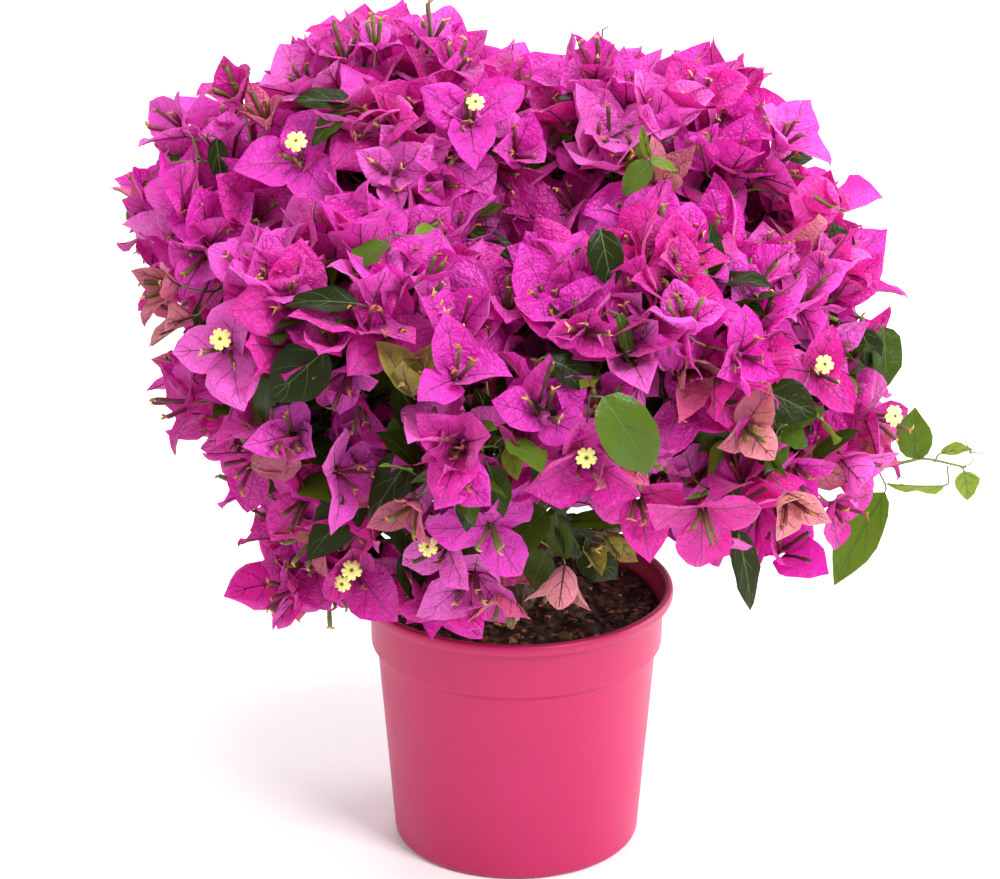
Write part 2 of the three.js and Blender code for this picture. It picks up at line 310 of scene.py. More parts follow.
def swept(paths, radii, sides, squash=None):
    """Round tubes along many paths, (tubes, steps, 3): at each step a ring of the step's radius stands
    square to the path. The rings' directions come from one fixed direction for each tube."""
    ahead = unit(np.gradient(paths, axis=1))
    chord = unit(paths[:, -1] - paths[:, 0])
    fixed = np.eye(3)[np.argmin(np.abs(chord), axis=1)]
    first = unit(np.cross(fixed[:, None], ahead))
    second = np.cross(ahead, first)
    angle = np.linspace(0, 2 * np.pi, sides, endpoint=False)
    flat = np.ones(len(paths)) if squash is None else squash
    across = np.cos(angle)[None, None, :, None] * first[:, :, None]
    up = np.sin(angle)[None, None, :, None] * second[:, :, None] * flat[:, None, None, None]
    return paths[:, :, None] + radii[..., None, None] * (across + up)


# Chips are short uneven rods of 5 sides that lie about flat on the surface.
def scattered_chips(count, length, width, seed):
    """Random short rods on the compost: a straight path of random length and direction with 4 rings,
    whose radius swells in the middle, pressed flat and tilted a little."""
    draw = np.random.default_rng(seed)
    radius = compost_radius * np.sqrt(draw.uniform(0, 0.95, count))
    angle = draw.uniform(0, 2 * np.pi, count)
    middle = np.stack([radius * np.cos(angle), radius * np.sin(angle), crumbled(radius, angle, crumbs)], -1)
    middle[:, 2] += draw.uniform(-0.3, 0.5, count)
    way = unit(draw.normal(size=(count, 3)) * [1, 1, 0.25])
    reach = draw.uniform(*length, count)[:, None, None] * way[:, None]
    paths = middle[:, None] + np.array([-0.5, -0.3, 0.25, 0.5])[None, :, None] * reach
    girth = draw.uniform(*width, count)[:, None] * np.array([0.5, 1.0, 0.9, 0.35]) / 2
    rods = swept(paths, girth, 5, draw.uniform(0.35, 0.9, count))
    return (rods + draw.normal(size=rods.shape) * girth[..., None, None] * 0.18) * MM


# Kind, number, length and width in millimetres, seed and colour.
chip_kinds = [
    ("dark_bark_chips", 360, (3.0, 8.0), (2.2, 5.0), 21, "#2e1f14"),
    ("red_bark_chips", 260, (2.6, 8.0), (2.0, 4.8), 22, "#70452a"),
    ("tan_bark_chips", 170, (2.4, 6.5), (1.6, 3.8), 23, "#a17c50"),
    ("mossy_bark_chips", 120, (2.4, 6.0), (1.8, 3.8), 26, "#605a34"),
    ("pale_roots", 70, (5.0, 14.0), (0.4, 0.8), 24, "#a88a63"),
    ("perlite_grains", 24, (1.4, 2.4), (1.4, 2.4), 25, "#cfc8b8"),
]
for name, count, length, width, seed, colour in chip_kinds:
    rods = scattered_chips(count, length, width, seed)
    chips = piece(name, rods, matt(name, colour, 0.85, 0.8, 0.3), closed=True, capped=True, smooth=False)
    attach(chips, "root")

# ---- stem and boughs -----------------------------------------------------------------------
# A short woody stem stands in the middle of the pot, flares into the compost at its foot and forks
# into fifteen boughs. All of them have thin grey-brown bark that splits lengthwise as they thicken.
stem_low, stem_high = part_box("stem")
fork = np.array([(stem_low.x + stem_high.x) / 2 + 0.004, 0, stem_high.z])
bough_names = sorted(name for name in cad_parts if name.endswith("_bough"))
mass_names = sorted(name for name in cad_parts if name.endswith("_mass"))


def corner_points(node):
    """A CAD node's corners as (corners, 3) in metres."""
    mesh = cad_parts[node].data
    points = np.empty(len(mesh.vertices) * 3, np.float32)
    mesh.vertices.foreach_get("co", points)
    return points.reshape(-1, 3).astype(float)


def smooth_path(points, steps):
    """A curve through a few points: each coordinate is a cubic Hermite curve with the slope at a point
    taken from its two neighbours."""
    points = np.asarray(points, float)
    slope = np.gradient(points, axis=0)
    place = np.linspace(0, len(points) - 1, steps)
    left = np.minimum(place.astype(int), len(points) - 2)
    s = (place - left)[:, None]
    return (
        (2 * s**3 - 3 * s**2 + 1) * points[left]
        + (s**3 - 2 * s**2 + s) * slope[left]
        + (3 * s**2 - 2 * s**3) * points[left + 1]
        + (s**3 - s**2) * slope[left + 1]
    )


LIMB_SLICES = 5


def limb_line(node, start):
    """The middle line of a CAD limb, from the end nearest to start: the middles of its slices."""
    corners = corner_points(node)
    order = np.argsort(np.linalg.norm(corners - start, axis=1))
    return np.array([corners[part].mean(0) for part in np.array_split(order, LIMB_SLICES)])


def barked(path, radius, sides, seed):
    """A limb with bark: round rings along the path whose radius rises and falls in wandering
    lengthwise ridges, with a few rounded knots where shoots once grew."""
    draw = np.random.default_rng(seed)
    rows = len(path)
    along = np.linspace(0, 1, rows)[:, None]
    angle = np.linspace(0, 2 * np.pi, sides, endpoint=False)[None]
    length = np.linalg.norm(np.diff(path, axis=0), axis=1).sum() / MM
    wander = 0.9 * np.sin(along * length * 0.11 + draw.uniform(0, 6)) + 0.5 * np.sin(along * length * 0.31)
    ridges = -np.abs(np.sin(4.5 * angle + wander)) ** 0.6 * 0.10
    ridges = ridges - 0.06 * np.abs(np.sin(8 * angle - 1.7 * wander + along * length * 0.05))
    for _ in range(max(2, int(length / 18))):
        place, side = draw.uniform(0.05, 0.95), draw.uniform(0, 2 * np.pi)
        near = ((along - place) * length / 3.2) ** 2 + (np.angle(np.exp(1j * (angle - side))) / 0.6) ** 2
        ridges = ridges + 0.28 * np.exp(-near)
    middle = swept(path[None], np.ones((1, rows)), sides)[0] - path[:, None]
    return path[:, None] + middle * (radius[:, None] * (1.08 + ridges))[..., None]


# Thin bark of a young woody climber: grey-brown with warmer cracks along the limb, matt, with a fine
# relief of splits and pores about 1.6 mm wide.
splits_noise = {"Scale": 1 / (1.613 * MM), "Detail": 5.0, "Roughness": 0.6}
bark_tones = {"data_type": "RGBA", 6: linear("#463626"), 7: linear("#8b7a5f")}
bark = new_material(
    "grey_brown_bark",
    [
        FRAME_PLACE,
        ("stretch", "Mapping", {"Scale": (1.0, 1.0, 0.25)}, {"Vector": ("place", "Object")}),
        ("splits", "TexNoise", splits_noise, {"Vector": ("stretch", 0)}),
        ("spread", "MapRange", {"From Min": 0.35, "From Max": 0.65}, {"Value": ("splits", "Fac")}),
        ("tone", "Mix", bark_tones, {0: ("spread", 0)}),
        ("relief", "Bump", {"Strength": 0.8, "Distance": 0.5 * MM}, {"Height": ("splits", "Fac")}),
        ("skin", "BsdfPrincipled", {"Roughness": 0.8}, TONE_AND_RELIEF),
    ],
)
STEM_FOOT = 8.5
STEM_TOP = 6.5
STEM_STEPS = 70
STEM_SIDES = 40
STEM_END = 9  # steps that round off its hidden top
foot = np.array([0, 0, stem_low.z - 3 * MM])
bulge = (foot + fork) / 2 + [-1 * MM, 1 * MM, 0]
stem_path = smooth_path([foot, bulge, fork, fork + [0, 0, 4 * MM]], STEM_STEPS)
stem_share = np.linspace(0, 1, STEM_STEPS)
stem_radius = (STEM_FOOT + (STEM_TOP - STEM_FOOT) * stem_share) * (1 + 0.45 * np.exp(-9 * stem_share)) * MM
stem_radius[-STEM_END:] *= np.sqrt(np.linspace(1, 0.02, STEM_END))
stem_grid = barked(stem_path, stem_radius, STEM_SIDES, 5)[None]
stem = piece("stem_bark", stem_grid, bark, closed=True, capped=True)
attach(stem, "root")
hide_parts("stem")

# Each bough starts inside the stem, follows its CAD limb and ends where it enters its mass.
BOUGH_STEPS = 60
BOUGH_SIDES = 18
bough_ends = {}
bough_ways = {}
bough_grids = []
for seed, name in enumerate(bough_names):
    line = limb_line(name, fork)
    root = stem_path[np.argmin(np.abs(stem_path[:, 2] - line[0, 2] + 6 * MM))]
    path = smooth_path([root, *line], BOUGH_STEPS)
    size = (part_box(name)[1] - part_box(name)[0]).length
    start_radius = min(5.2, 3.0 + 12 * size) * MM
    radius = np.linspace(start_radius, 0.5 * start_radius, BOUGH_STEPS)
    bough_grids.append(barked(path, radius, BOUGH_SIDES, 40 + seed))
    bough_ends[name] = path[-1]
    bough_ways[name] = unit(path[-1] - path[-6])
boughs = piece("bough_bark", np.array(bough_grids), bark, closed=True, capped=True)
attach(boughs, "root")
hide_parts(*bough_names)

# ---- places of the flowering sprays --------------------------------------------------------
# A bougainvillea flowers at the ends of its twigs, so its blossom covers the outside of the crown.
# Each spray's place is drawn at random on the outside of a mass, and kept if it has room.
SPRAY_GAP = 22.5  # least distance between two sprays on the outside
DEEP_GAP = 27.0  # the same for the sprays behind them
SPRAY_DEPTH = 20.0  # how far inside the outline a spray's bracts start
DEEP_DEPTH = 42.0  # the same for the sprays behind
SPRAY_LENGTH = 31.0
FLOWER_SHARE = 0.03  # share of the sprays with an open flower
CORAL_SHARE_LOW, CORAL_SHARE = 0.13, 0.015  # share of young, coral sprays low down and elsewhere
BUD_SHARE_LOW = 0.015  # share of sprays that are still in bud low down
TIP_REACH = 8.0  # how far its tips may reach beyond the outline
TRIM_REACH = 3.0  # the same on the right side, where the crown is trimmer
TOP_TRIM_REACH = -6.0  # and high on that side
TRIM_FROM = 120 * MM
VALLEY = 14.0  # a gap between two masses is open from this width on
BARE_RADIUS, BARE_HEIGHT = 95.0, 215.0  # nothing flowers this near the stem and this low
UP = np.array([0.0, 0.0, 1.0])


def triangles(node):
    """A CAD node's triangles as (triangles, 3 corners, 3) in metres."""
    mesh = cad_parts[node].data
    mesh.calc_loop_triangles()
    corner = np.empty(len(mesh.loop_triangles) * 3, np.int32)
    mesh.loop_triangles.foreach_get("vertices", corner)
    return corner_points(node)[corner].reshape(-1, 3, 3)


crown_faces = np.concatenate([triangles(name) for name in mass_names])
crown_tree = BVHTree.FromPolygons(
    [Vector(point) for point in crown_faces.reshape(-1, 3)],
    np.arange(len(crown_faces) * 3).reshape(-1, 3).tolist(),
)


def is_open(point, way):
    """Whether nothing lies close in front of a point on a mass."""
    hit, _, _, distance = crown_tree.ray_cast(Vector(point + way * 2 * MM), Vector(way))
    return hit is None or distance > VALLEY * MM


def outside_points(count):
    """Points spread evenly over the open outside of all the masses, and the way each one faces. A point
    is drawn on a triangle as corner + a (second - corner) + b (third - corner), with a + b under 1."""
    draw = np.random.default_rng(77)
    square = np.cross(crown_faces[:, 1] - crown_faces[:, 0], crown_faces[:, 2] - crown_faces[:, 0])
    area = np.linalg.norm(square, axis=1)
    picked = draw.choice(len(crown_faces), count, p=area / area.sum())
    a, b = draw.uniform(size=(2, count, 1))
    a, b = np.where(a + b > 1, 1 - a, a), np.where(a + b > 1, 1 - b, b)
    corner = crown_faces[picked]
    points = corner[:, 0] + a * (corner[:, 1] - corner[:, 0]) + b * (corner[:, 2] - corner[:, 0])
    facing = unit(square[picked])
    free = np.array([is_open(point, way) for point, way in zip(points, facing)])
    return points[free], facing[free]


def beyond(points):
    """How far each point lies outside the nearest mass, negative inside it, and the way out there."""
    found = [crown_tree.find_nearest(Vector(point)) for point in points]
    gap = points - np.array([row[0] for row in found])
    side = np.sign((gap * np.array([row[1] for row in found])).sum(-1))
    return side * np.linalg.norm(gap, axis=-1), unit(gap * side[:, None])


def with_room(points, gap, taken=()):
    """The indexes of the points, in order, that are at least gap from all kept or taken ones."""
    kept = list(taken)
    chosen = []
    for i, point in enumerate(points):
        if not kept or np.linalg.norm(np.array(kept) - point, axis=1).min() > gap:
            kept.append(point)
            chosen.append(i)
    return np.array(chosen)


outline_points, outline_facing = outside_points(9000)

# Low on the front the crown is looser, and leaves show between single hanging sprays. These are the
# middles of the leafy hollows and their sizes in millimetres.
leafy_hollows = np.array(
    [
        (-58, -152, 304, 30), (-68, -148, 268, 30), (-84, -112, 238, 22), (-62, -112, 222, 26),
        (-42, -112, 206, 26), (14, -128, 214, 32), (-106, -138, 304, 16), (-92, -142, 360, 16),
        (-116, -138, 314, 17), (30, -146, 320, 15),
    ]
)


def leafiness(points):
    """How leafy the crown is at each point: 1 in the middle of a hollow, falling off by its size."""
    distance = np.linalg.norm(points[:, None] - leafy_hollows[None, :, :3] * MM, axis=-1)
    return np.exp(-((distance / (leafy_hollows[:, 3] * MM)) ** 2)).max(axis=1)


random = np.random.default_rng(5)
over_pot = np.hypot(outline_points[:, 0], outline_points[:, 1]) < BARE_RADIUS * MM
over_pot &= outline_points[:, 2] < BARE_HEIGHT * MM
allowed = (random.uniform(size=len(outline_points)) > 1.25 * leafiness(outline_points)) & ~over_pot
allowed &= outline_facing[:, 2] > -0.8
allowed = np.flatnonzero(allowed)
outer = allowed[with_room(outline_points[allowed], SPRAY_GAP * MM)]
allowed = allowed[::-1]
deep = allowed[with_room(outline_points[allowed], DEEP_GAP * MM)]

# Sprays behind the outer ones start deeper, and face more ways. All turn up, but for those underneath.
inward = np.append(random.normal(SPRAY_DEPTH, 4.5, len(outer)), random.normal(DEEP_DEPTH, 6, len(deep))) * MM
chosen = np.concatenate([outer, deep])
facing = outline_facing[chosen]
looseness = np.where(np.arange(len(chosen)) < len(outer), 0.42, 0.8)[:, None]
lift = np.where(facing[:, 2:] < -0.25, -0.1, random.uniform(0.1, 1.1, (len(chosen), 1)))
spray_axis = unit(0.65 * facing + lift * UP + looseness * unit(random.normal(size=(len(chosen), 3))))
spray_place = outline_points[chosen] - facing * inward[:, None]
# Bracts are up to 5 mm longer high in the crown, and sprays move in until their tips keep the outline.
spray_length = random.normal(SPRAY_LENGTH, 3.8, len(chosen)).clip(23, 38)
spray_length += 5 * np.clip((spray_place[:, 2] - 0.3) / 0.1, 0, 1)
excess, way_out = beyond(spray_place + spray_axis * spray_length[:, None] * MM)
trim = np.where(spray_place[:, 2] > 0.32, TOP_TRIM_REACH, TRIM_REACH)
tip_reach = np.where(spray_place[:, 0] > TRIM_FROM, trim, TIP_REACH) * MM
spray_place -= way_out * np.maximum(excess - tip_reach, 0)[:, None]
spray_turn = random.uniform(0, 2 * np.pi, len(chosen))
flowering = random.uniform(size=len(chosen)) < FLOWER_SHARE
spray_flowers = (flowering & (facing[:, 1] > -0.3)).astype(int)
# Low sprays are younger, below 300 mm at the front and 260 mm in the middle of the bush.
low = (spray_place[:, 2] < 0.300) & (spray_place[:, 2] < 0.26 + 0.25 * np.abs(spray_place[:, 1]))
youth = random.uniform(size=len(chosen))
spray_kind = np.where(youth < np.where(low, CORAL_SHARE_LOW, CORAL_SHARE), "coral", "ripe")
spray_kind = np.where(low & (youth > 1 - BUD_SHARE_LOW), "bud", spray_kind)

# A few sprays hang or face out where the crown opens, listed one by one: the place in millimetres, the
# way it faces, the turn of its first bract in degrees, its bracts' length, its kind and open flowers.
placed_sprays = [
    ((32, -161, 283), (0.02, -0.97, -0.04), 92, 34, "ripe", 1),
    ((-27, -166, 291), (-0.25, -0.9, 0.20), 140, 34, "ripe", 0),
    ((32, -142, 340), (0.05, -0.93, 0.30), 75, 25, "ripe", 0),
    ((108, -140, 328), (0.25, -0.90, 0.25), 85, 28, "ripe", 0),
    ((-29, -134, 338), (0.00, -0.80, 0.60), 35, 31, "ripe", 0),
    ((-30, -158, 322), (0.10, -0.70, 0.70), 95, 32, "ripe", 0),
    ((-14, -142, 238), (0.10, -0.85, -0.25), 60, 33, "ripe", 0),
    ((-36, -120, 218), (-0.50, -0.80, 0.00), 80, 27, "ripe", 1),
    ((-22, -108, 198), (-0.05, -0.85, -0.35), 80, 34, "ripe", 0),
    ((24, -112, 204), (-0.12, -0.50, -0.90), 200, 31, "coral", 0),
    ((-84, -92, 194), (0.02, -0.95, -0.10), 78, 33, "ripe", 2),
    ((-108, -84, 231), (-0.35, -0.75, -0.45), 100, 31, "ripe", 0),
    ((-102, -80, 210), (-0.60, -0.55, -0.60), 40, 27, "coral", 0),
    ((-50, -150, 254), (-0.30, -0.80, -0.15), 80, 27, "coral", 0),
    ((-52, -154, 312), (-0.05, -0.35, 0.95), 30, 28, "bud", 0),
    ((44, -116, 222), (0.80, -0.50, -0.35), 60, 20, "bud", 0),
    ((92, -128, 242), (0.10, -0.85, -0.50), 30, 37, "ripe", 0),
    ((112, -130, 286), (0.15, -0.90, 0.10), 75, 32, "coral", 0),
    ((140, -86, 248), (0.20, -0.85, -0.30), 50, 28, "ripe", 0),
    ((168, -56, 240), (0.70, -0.55, -0.30), 40, 28, "ripe", 0),
    ((-32, -14, 434), (0.15, -0.30, 0.90), 30, 31, "ripe", 0),
    ((-168, -20, 404), (-0.80, -0.30, 0.55), 60, 31, "ripe", 0),
    ((-142, -18, 420), (-0.30, -0.35, 0.85), 10, 26, "ripe", 0),
    ((-88, -14, 440), (-0.10, -0.20, 1.00), 20, 22, "ripe", 0),
    ((-73, -6, 444), (0.05, -0.15, 1.00), 80, 20, "ripe", 0),
    ((-45, 2, 443), (0.10, -0.20, 1.00), 50, 22, "ripe", 0),
    ((40, 8, 426), (-0.05, -0.20, 1.00), 50, 21, "ripe", 0),
    ((-172, -62, 336), (-0.70, -0.60, 0.20), 45, 29, "coral", 0),
    ((34, -104, 214), (0.40, -0.70, -0.10), 30, 20, "bud", 0),
    ((60, -128, 248), (0.05, -0.90, -0.25), 40, 32, "ripe", 0),
    ((-8, -106, 188), (0.10, -0.55, -0.85), 60, 25, "coral", 0),
    ((134, -132, 250), (0.20, -0.85, -0.15), 100, 29, "coral", 0),
    ((-24, -44, 417), (0.05, -0.75, 0.65), 30, 35, "ripe", 1),
    ((-110, -42, 396), (-0.15, -0.80, 0.50), 80, 32, "ripe", 1),
    ((-127, -28, 410), (-0.30, -0.50, 0.80), 10, 24, "coral", 0),
    ((-143, -108, 320), (-0.30, -0.90, 0.25), 70, 33, "ripe", 1),
    ((-166, -56, 318), (-0.80, -0.50, 0.10), 20, 28, "coral", 0),
    ((151, -68, 292), (0.30, -0.85, 0.35), 60, 30, "ripe", 1),
    ((184, -14, 247), (0.85, -0.50, 0.05), 95, 31, "ripe", 1),
    ((134, -4, 392), (0.55, -0.40, 0.75), 30, 31, "ripe", 0),
    ((126, -8, 378), (0.90, -0.35, 0.30), 75, 33, "ripe", 0),
    ((162, -64, 218), (0.60, -0.70, -0.20), 15, 26, "ripe", 0),
    ((-168, -34, 262), (-0.90, -0.40, 0.10), 50, 29, "ripe", 0),
    ((-64, -56, 392), (0.05, -0.90, 0.45), 40, 28, "ripe", 0),
    ((-40, -56, 388), (0.10, -0.90, 0.40), 95, 29, "ripe", 0),
    ((-2, -40, 398), (0.30, -0.75, 0.55), 65, 29, "ripe", 0),
]

# Some leaves show on their own and are listed one by one too: foot and tip in millimetres, the way
# that the upper side faces, the width as a share of the length, and the tint, from 0, dark, to 3, young.
placed_leaves = [
    ((40, -184, 322), (70, -192, 284), (0.15, -0.75, 0.65), 0.56, 2),
    ((113, -86, 212), (124, -88, 167), (0.45, -0.85, 0.1), 0.34, 0),
    ((14, -130, 242), (-10, -134, 217), (-0.2, -0.7, 0.7), 0.7, 1),
    ((19, -126, 238), (20, -122, 206), (-0.4, -0.9, 0.1), 0.6, 1),
    ((30, -106, 212), (52, -104, 194), (0.4, -0.7, 0.4), 0.75, 0),
    ((26, -124, 232), (58, -130, 240), (0.1, -0.4, 0.9), 0.42, 1),
    ((22, -122, 236), (36, -120, 208), (0.3, -1.0, 0.2), 0.6, 0),
    ((-52, -142, 276), (-78, -148, 242), (-0.3, -0.8, 0.5), 0.55, 0),
    ((-78, -116, 246), (-106, -122, 212), (-0.3, -0.9, 0.3), 0.55, 0),
    ((-63, -112, 232), (-44, -114, 202), (0.3, -0.9, 0.3), 0.5, 0),
    ((-60, -142, 314), (-40, -144, 280), (0.2, -0.9, 0.3), 0.5, 0),
    ((-34, -118, 236), (-8, -122, 206), (0.1, -0.9, 0.4), 0.6, 1),
    ((-46, -140, 262), (-70, -146, 256), (-0.2, -0.5, 0.9), 0.4, 1),
    ((-58, -104, 208), (-48, -106, 178), (0.3, -0.9, 0.2), 0.5, 0),
    ((15, -112, 212), (3, -108, 184), (-0.2, -0.9, 0.3), 0.55, 1),
    ((-50, -92, 186), (-58, -98, 168), (0.3, -0.9, 0.2), 0.4, 3),
    ((-78, -146, 356), (-116, -141, 360), (0.0, -0.6, 0.8), 0.42, 0),
    ((-94, -138, 330), (-122, -140, 304), (-0.2, -0.9, 0.3), 0.75, 0),
    ((12, -150, 330), (44, -152, 318), (0.0, -0.7, 0.7), 0.5, 0),
    ((40, -122, 386), (46, -134, 360), (0.1, -0.9, 0.3), 0.6, 0),
    ((48, -152, 353), (58, -156, 328), (0.5, -0.8, 0.1), 0.3, 1),
    ((124, -112, 298), (149, -118, 288), (0.1, -0.9, 0.4), 0.8, 0),
    ((-154, -20, 402), (-152, -30, 380), (-0.3, -0.9, 0.3), 0.45, 0),
    ((-84, -46, 428), (-112, -46, 432), (0.0, -0.5, 0.8), 0.5, 0),
    ((-88, -50, 424), (-106, -56, 410), (-0.3, -0.8, 0.4), 0.5, 1),
    ((180, -8, 294), (192, -12, 272), (0.4, -0.9, 0.2), 0.6, 0),
    ((66, -68, 404), (52, -76, 390), (-0.2, -0.8, 0.5), 0.62, 2),
    ((66, -68, 406), (60, -72, 422), (-0.6, -0.7, 0.3), 0.36, 3),
    ((66, -68, 405), (80, -70, 402), (0.2, -0.7, 0.6), 0.4, 3),
    ((193, 2, 292), (196, -10, 262), (0.5, -0.8, 0.2), 0.6, 1),
]
# Blossom keeps off these places, so that the leaves behind them show: middles and sizes in millimetres.
leafy_windows = np.array([(12, -128, 236, 27), (40, -118, 218, 20), (66, -100, 204, 16)])
FRONT = np.array([0.0, -0.93, 0.36])  # the way out of the crown to its front
SPRAY_ROOM = 21.0  # room that is left in front of each listed spray
LEAF_ROOM = 15.0
hand_places, hand_ways, hand_turns, hand_lengths, hand_kinds, hand_flowers = zip(*placed_sprays)
hand_feet, hand_tips, hand_faces, hand_widths, hand_tints = zip(*placed_leaves)
hand_place = np.array(hand_places) * MM
hand_axis = unit(np.array(hand_ways, float))
hand_foot = np.array(hand_feet) * MM
hand_tip = np.array(hand_tips) * MM
kept_clear = np.vstack([hand_place, (hand_foot + hand_tip) / 2, leafy_windows[:, :3] * MM])
room = np.repeat([SPRAY_ROOM, LEAF_ROOM], [len(hand_place), len(hand_foot)])
room = np.append(room, leafy_windows[:, 3]) * MM
offset = spray_place[:, None] - kept_clear
before = offset @ FRONT
sideways = np.linalg.norm(offset - before[..., None] * FRONT, axis=-1)
hides = (sideways < room) & (before > -8 * MM) & (kept_clear[:, 1] < -10 * MM)
clear = ~(hides | (np.linalg.norm(offset, axis=-1) < 15 * MM)).any(axis=1)
spray_place = np.vstack([spray_place[clear], hand_place])
spray_axis = np.vstack([spray_axis[clear], hand_axis])
spray_length = np.append(spray_length[clear], hand_lengths)
spray_turn = np.append(spray_turn[clear], np.radians(hand_turns))
spray_kind = np.append(spray_kind[clear], hand_kinds)
spray_flowers = np.append(spray_flowers[clear], hand_flowers)
behind = np.append((np.arange(len(chosen)) >= len(outer))[clear], np.zeros(len(placed_sprays), bool))

# Leafy shoots fill the hollows and the shaded underside, where little blossom grows.
LEAFY_GAP = 27.0
hollow_score = leafiness(outline_points)
shaded = (outline_facing[:, 2] < -0.45) & ~over_pot
leafy = np.flatnonzero((hollow_score > 0.4) | shaded)
leafy = leafy[with_room(outline_points[leafy], LEAFY_GAP * MM)]
under, between = random.uniform(42, 66, len(leafy)), random.uniform(22, 50, len(leafy))
leafy_depth = np.where(shaded[leafy], under, between) * MM
leafy_place = outline_points[leafy] - outline_facing[leafy] * leafy_depth[:, None]
leafy_axis = 0.8 * outline_facing[leafy] + [0, 0, 0.25] + 0.4 * unit(random.normal(size=(len(leafy), 3)))
shoot_place = np.vstack([spray_place, leafy_place])
shoot_axis = np.vstack([spray_axis, unit(leafy_axis)])

# ---- limbs and twigs -----------------------------------------------------------------------
# Inside each mass its bough forks again and again, in twos, until each twig ends in one spray. Older
# limbs carry the same bark as the boughs, and the youngest twigs are still green.
TWIG_RADIUS = 0.55 * MM
GREEN_BELOW = 1.1 * MM  # limbs thinner than this are green
TWIG_STEPS = 8
CLUSTER_TIPS = 5  # sprays on one small branch, which mostly share a tint
limbs = []
spray_cluster = np.zeros(len(shoot_place), int)
twig_of = np.zeros(len(shoot_place), int)
random = np.random.default_rng(9)


def thickness(tips):
    """Radius of a limb that carries so many tips, growing as their number to the power 0.45."""
    return TWIG_RADIUS * tips**0.45


def grow(start, way, tips, cluster):
    """The branching rule: the tips ahead are halved across the way in which they spread most, and a
    limb grows part of the way to the middle of each half, until a twig reaches its own tip."""
    if cluster == 0 and len(tips) <= CLUSTER_TIPS:
        cluster = 1 + int(tips[0])
    if len(tips) == 1:
        tip = tips[0]
        spray_cluster[tip] = cluster
        twig_of[tip] = len(limbs)
        limbs.append((start, way, shoot_place[tip], shoot_axis[tip], 1.15 * TWIG_RADIUS, 0.9 * TWIG_RADIUS))
        return
    spread = shoot_place[tips] - shoot_place[tips].mean(0)
    across = np.linalg.svd(spread, full_matrices=False)[2][0]
    order = tips[np.argsort(spread @ across)]
    cut_at = int(np.clip(round(len(tips) * random.uniform(0.38, 0.62)), 1, len(tips) - 1))
    for half in (order[:cut_at], order[cut_at:]):
        if len(half) == 1:
            grow(start, way, half, cluster)
            continue
        middle = shoot_place[half].mean(0)
        reach = (middle - start) * random.uniform(0.32, 0.5)
        end = start + reach + random.normal(size=3) * 0.08 * np.linalg.norm(reach)
        heading = unit(middle - end)
        limbs.append((start, way, end, heading, thickness(len(tips)) * 0.9, thickness(len(half))))
        grow(end, heading, half, cluster)


bough_tips = np.array([bough_ends[name] for name in bough_names])
nearest_bough = np.linalg.norm(shoot_place[:, None] - bough_tips, axis=-1).argmin(axis=1)
for number, name in enumerate(bough_names):
    carried = np.flatnonzero(nearest_bough == number)
    if len(carried):
        grow(bough_ends[name], bough_ways[name], carried, 0)

begin, leave, finish, arrive, thick, thin = (np.array(part) for part in zip(*limbs))
HANDLE = 0.36


def bent(begin, leave, finish, arrive, steps):
    """Cubic curves from begin to finish, leaving and arriving along the two given ways, whose handles
    are about a third of the distance: (1-s)^3 a + 3s(1-s)^2 b + 3s^2(1-s) c + s^3 d."""
    reach = np.linalg.norm(finish - begin, axis=1, keepdims=True) * HANDLE
    near, far = begin + leave * reach, finish - arrive * reach
    s = np.linspace(0, 1, steps)[None, :, None]
    curve = (1 - s) ** 3 * begin[:, None] + 3 * s * (1 - s) ** 2 * near[:, None]
    return curve + 3 * s**2 * (1 - s) * far[:, None] + s**3 * finish[:, None]


def young_bark(name, colour):
    """Green to olive skin of a twig in its first summer: smooth, faintly ribbed, a little glossy."""
    return matt(name, colour, 0.5, 0.5556, 0.15, detail=2.0, strength=0.4)


limb_paths = bent(begin, leave, finish, arrive, TWIG_STEPS)
TWIG_RINGS = [0, 2, 4, 6, 7]  # a green twig needs only these of its steps
limb_radii = np.linspace(thick, thin, TWIG_STEPS, axis=1)
woody = thick > GREEN_BELOW
green_bark = young_bark("young_green_bark", "#6d7a35")
limb_kinds = [
    ("inner_limbs", woody, list(range(TWIG_STEPS)), 7, bark, "bark"),
    ("green_twigs", ~woody, TWIG_RINGS, 4, green_bark, "green_stem"),
]
for name, mine, rings, sides, skin, slot in limb_kinds:
    tubes = swept(limb_paths[mine][:, rings], limb_radii[mine][:, rings], sides)
    made = piece(name, tubes, skin, closed=True, capped=True)
    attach(made, "root")

# ---- leaves --------------------------------------------------------------------------------
# Leaves are egg-shaped with a drawn-out tip, smooth and a little glossy, on short stalks round the
# twigs. Old ones are dark green, and their tint is nearly black, with painted shade of the crown's inside
# in it; those of young shoots are small and yellow-green.
BLADE_ROWS = np.array([0.0, 0.06, 0.17, 0.32, 0.48, 0.64, 0.79, 0.91, 1.0])
BLADE_COLUMNS = np.array([-1.0, -0.8, -0.42, 0.0, 0.42, 0.8, 1.0])
MIDDLE = 3  # the midrib's column


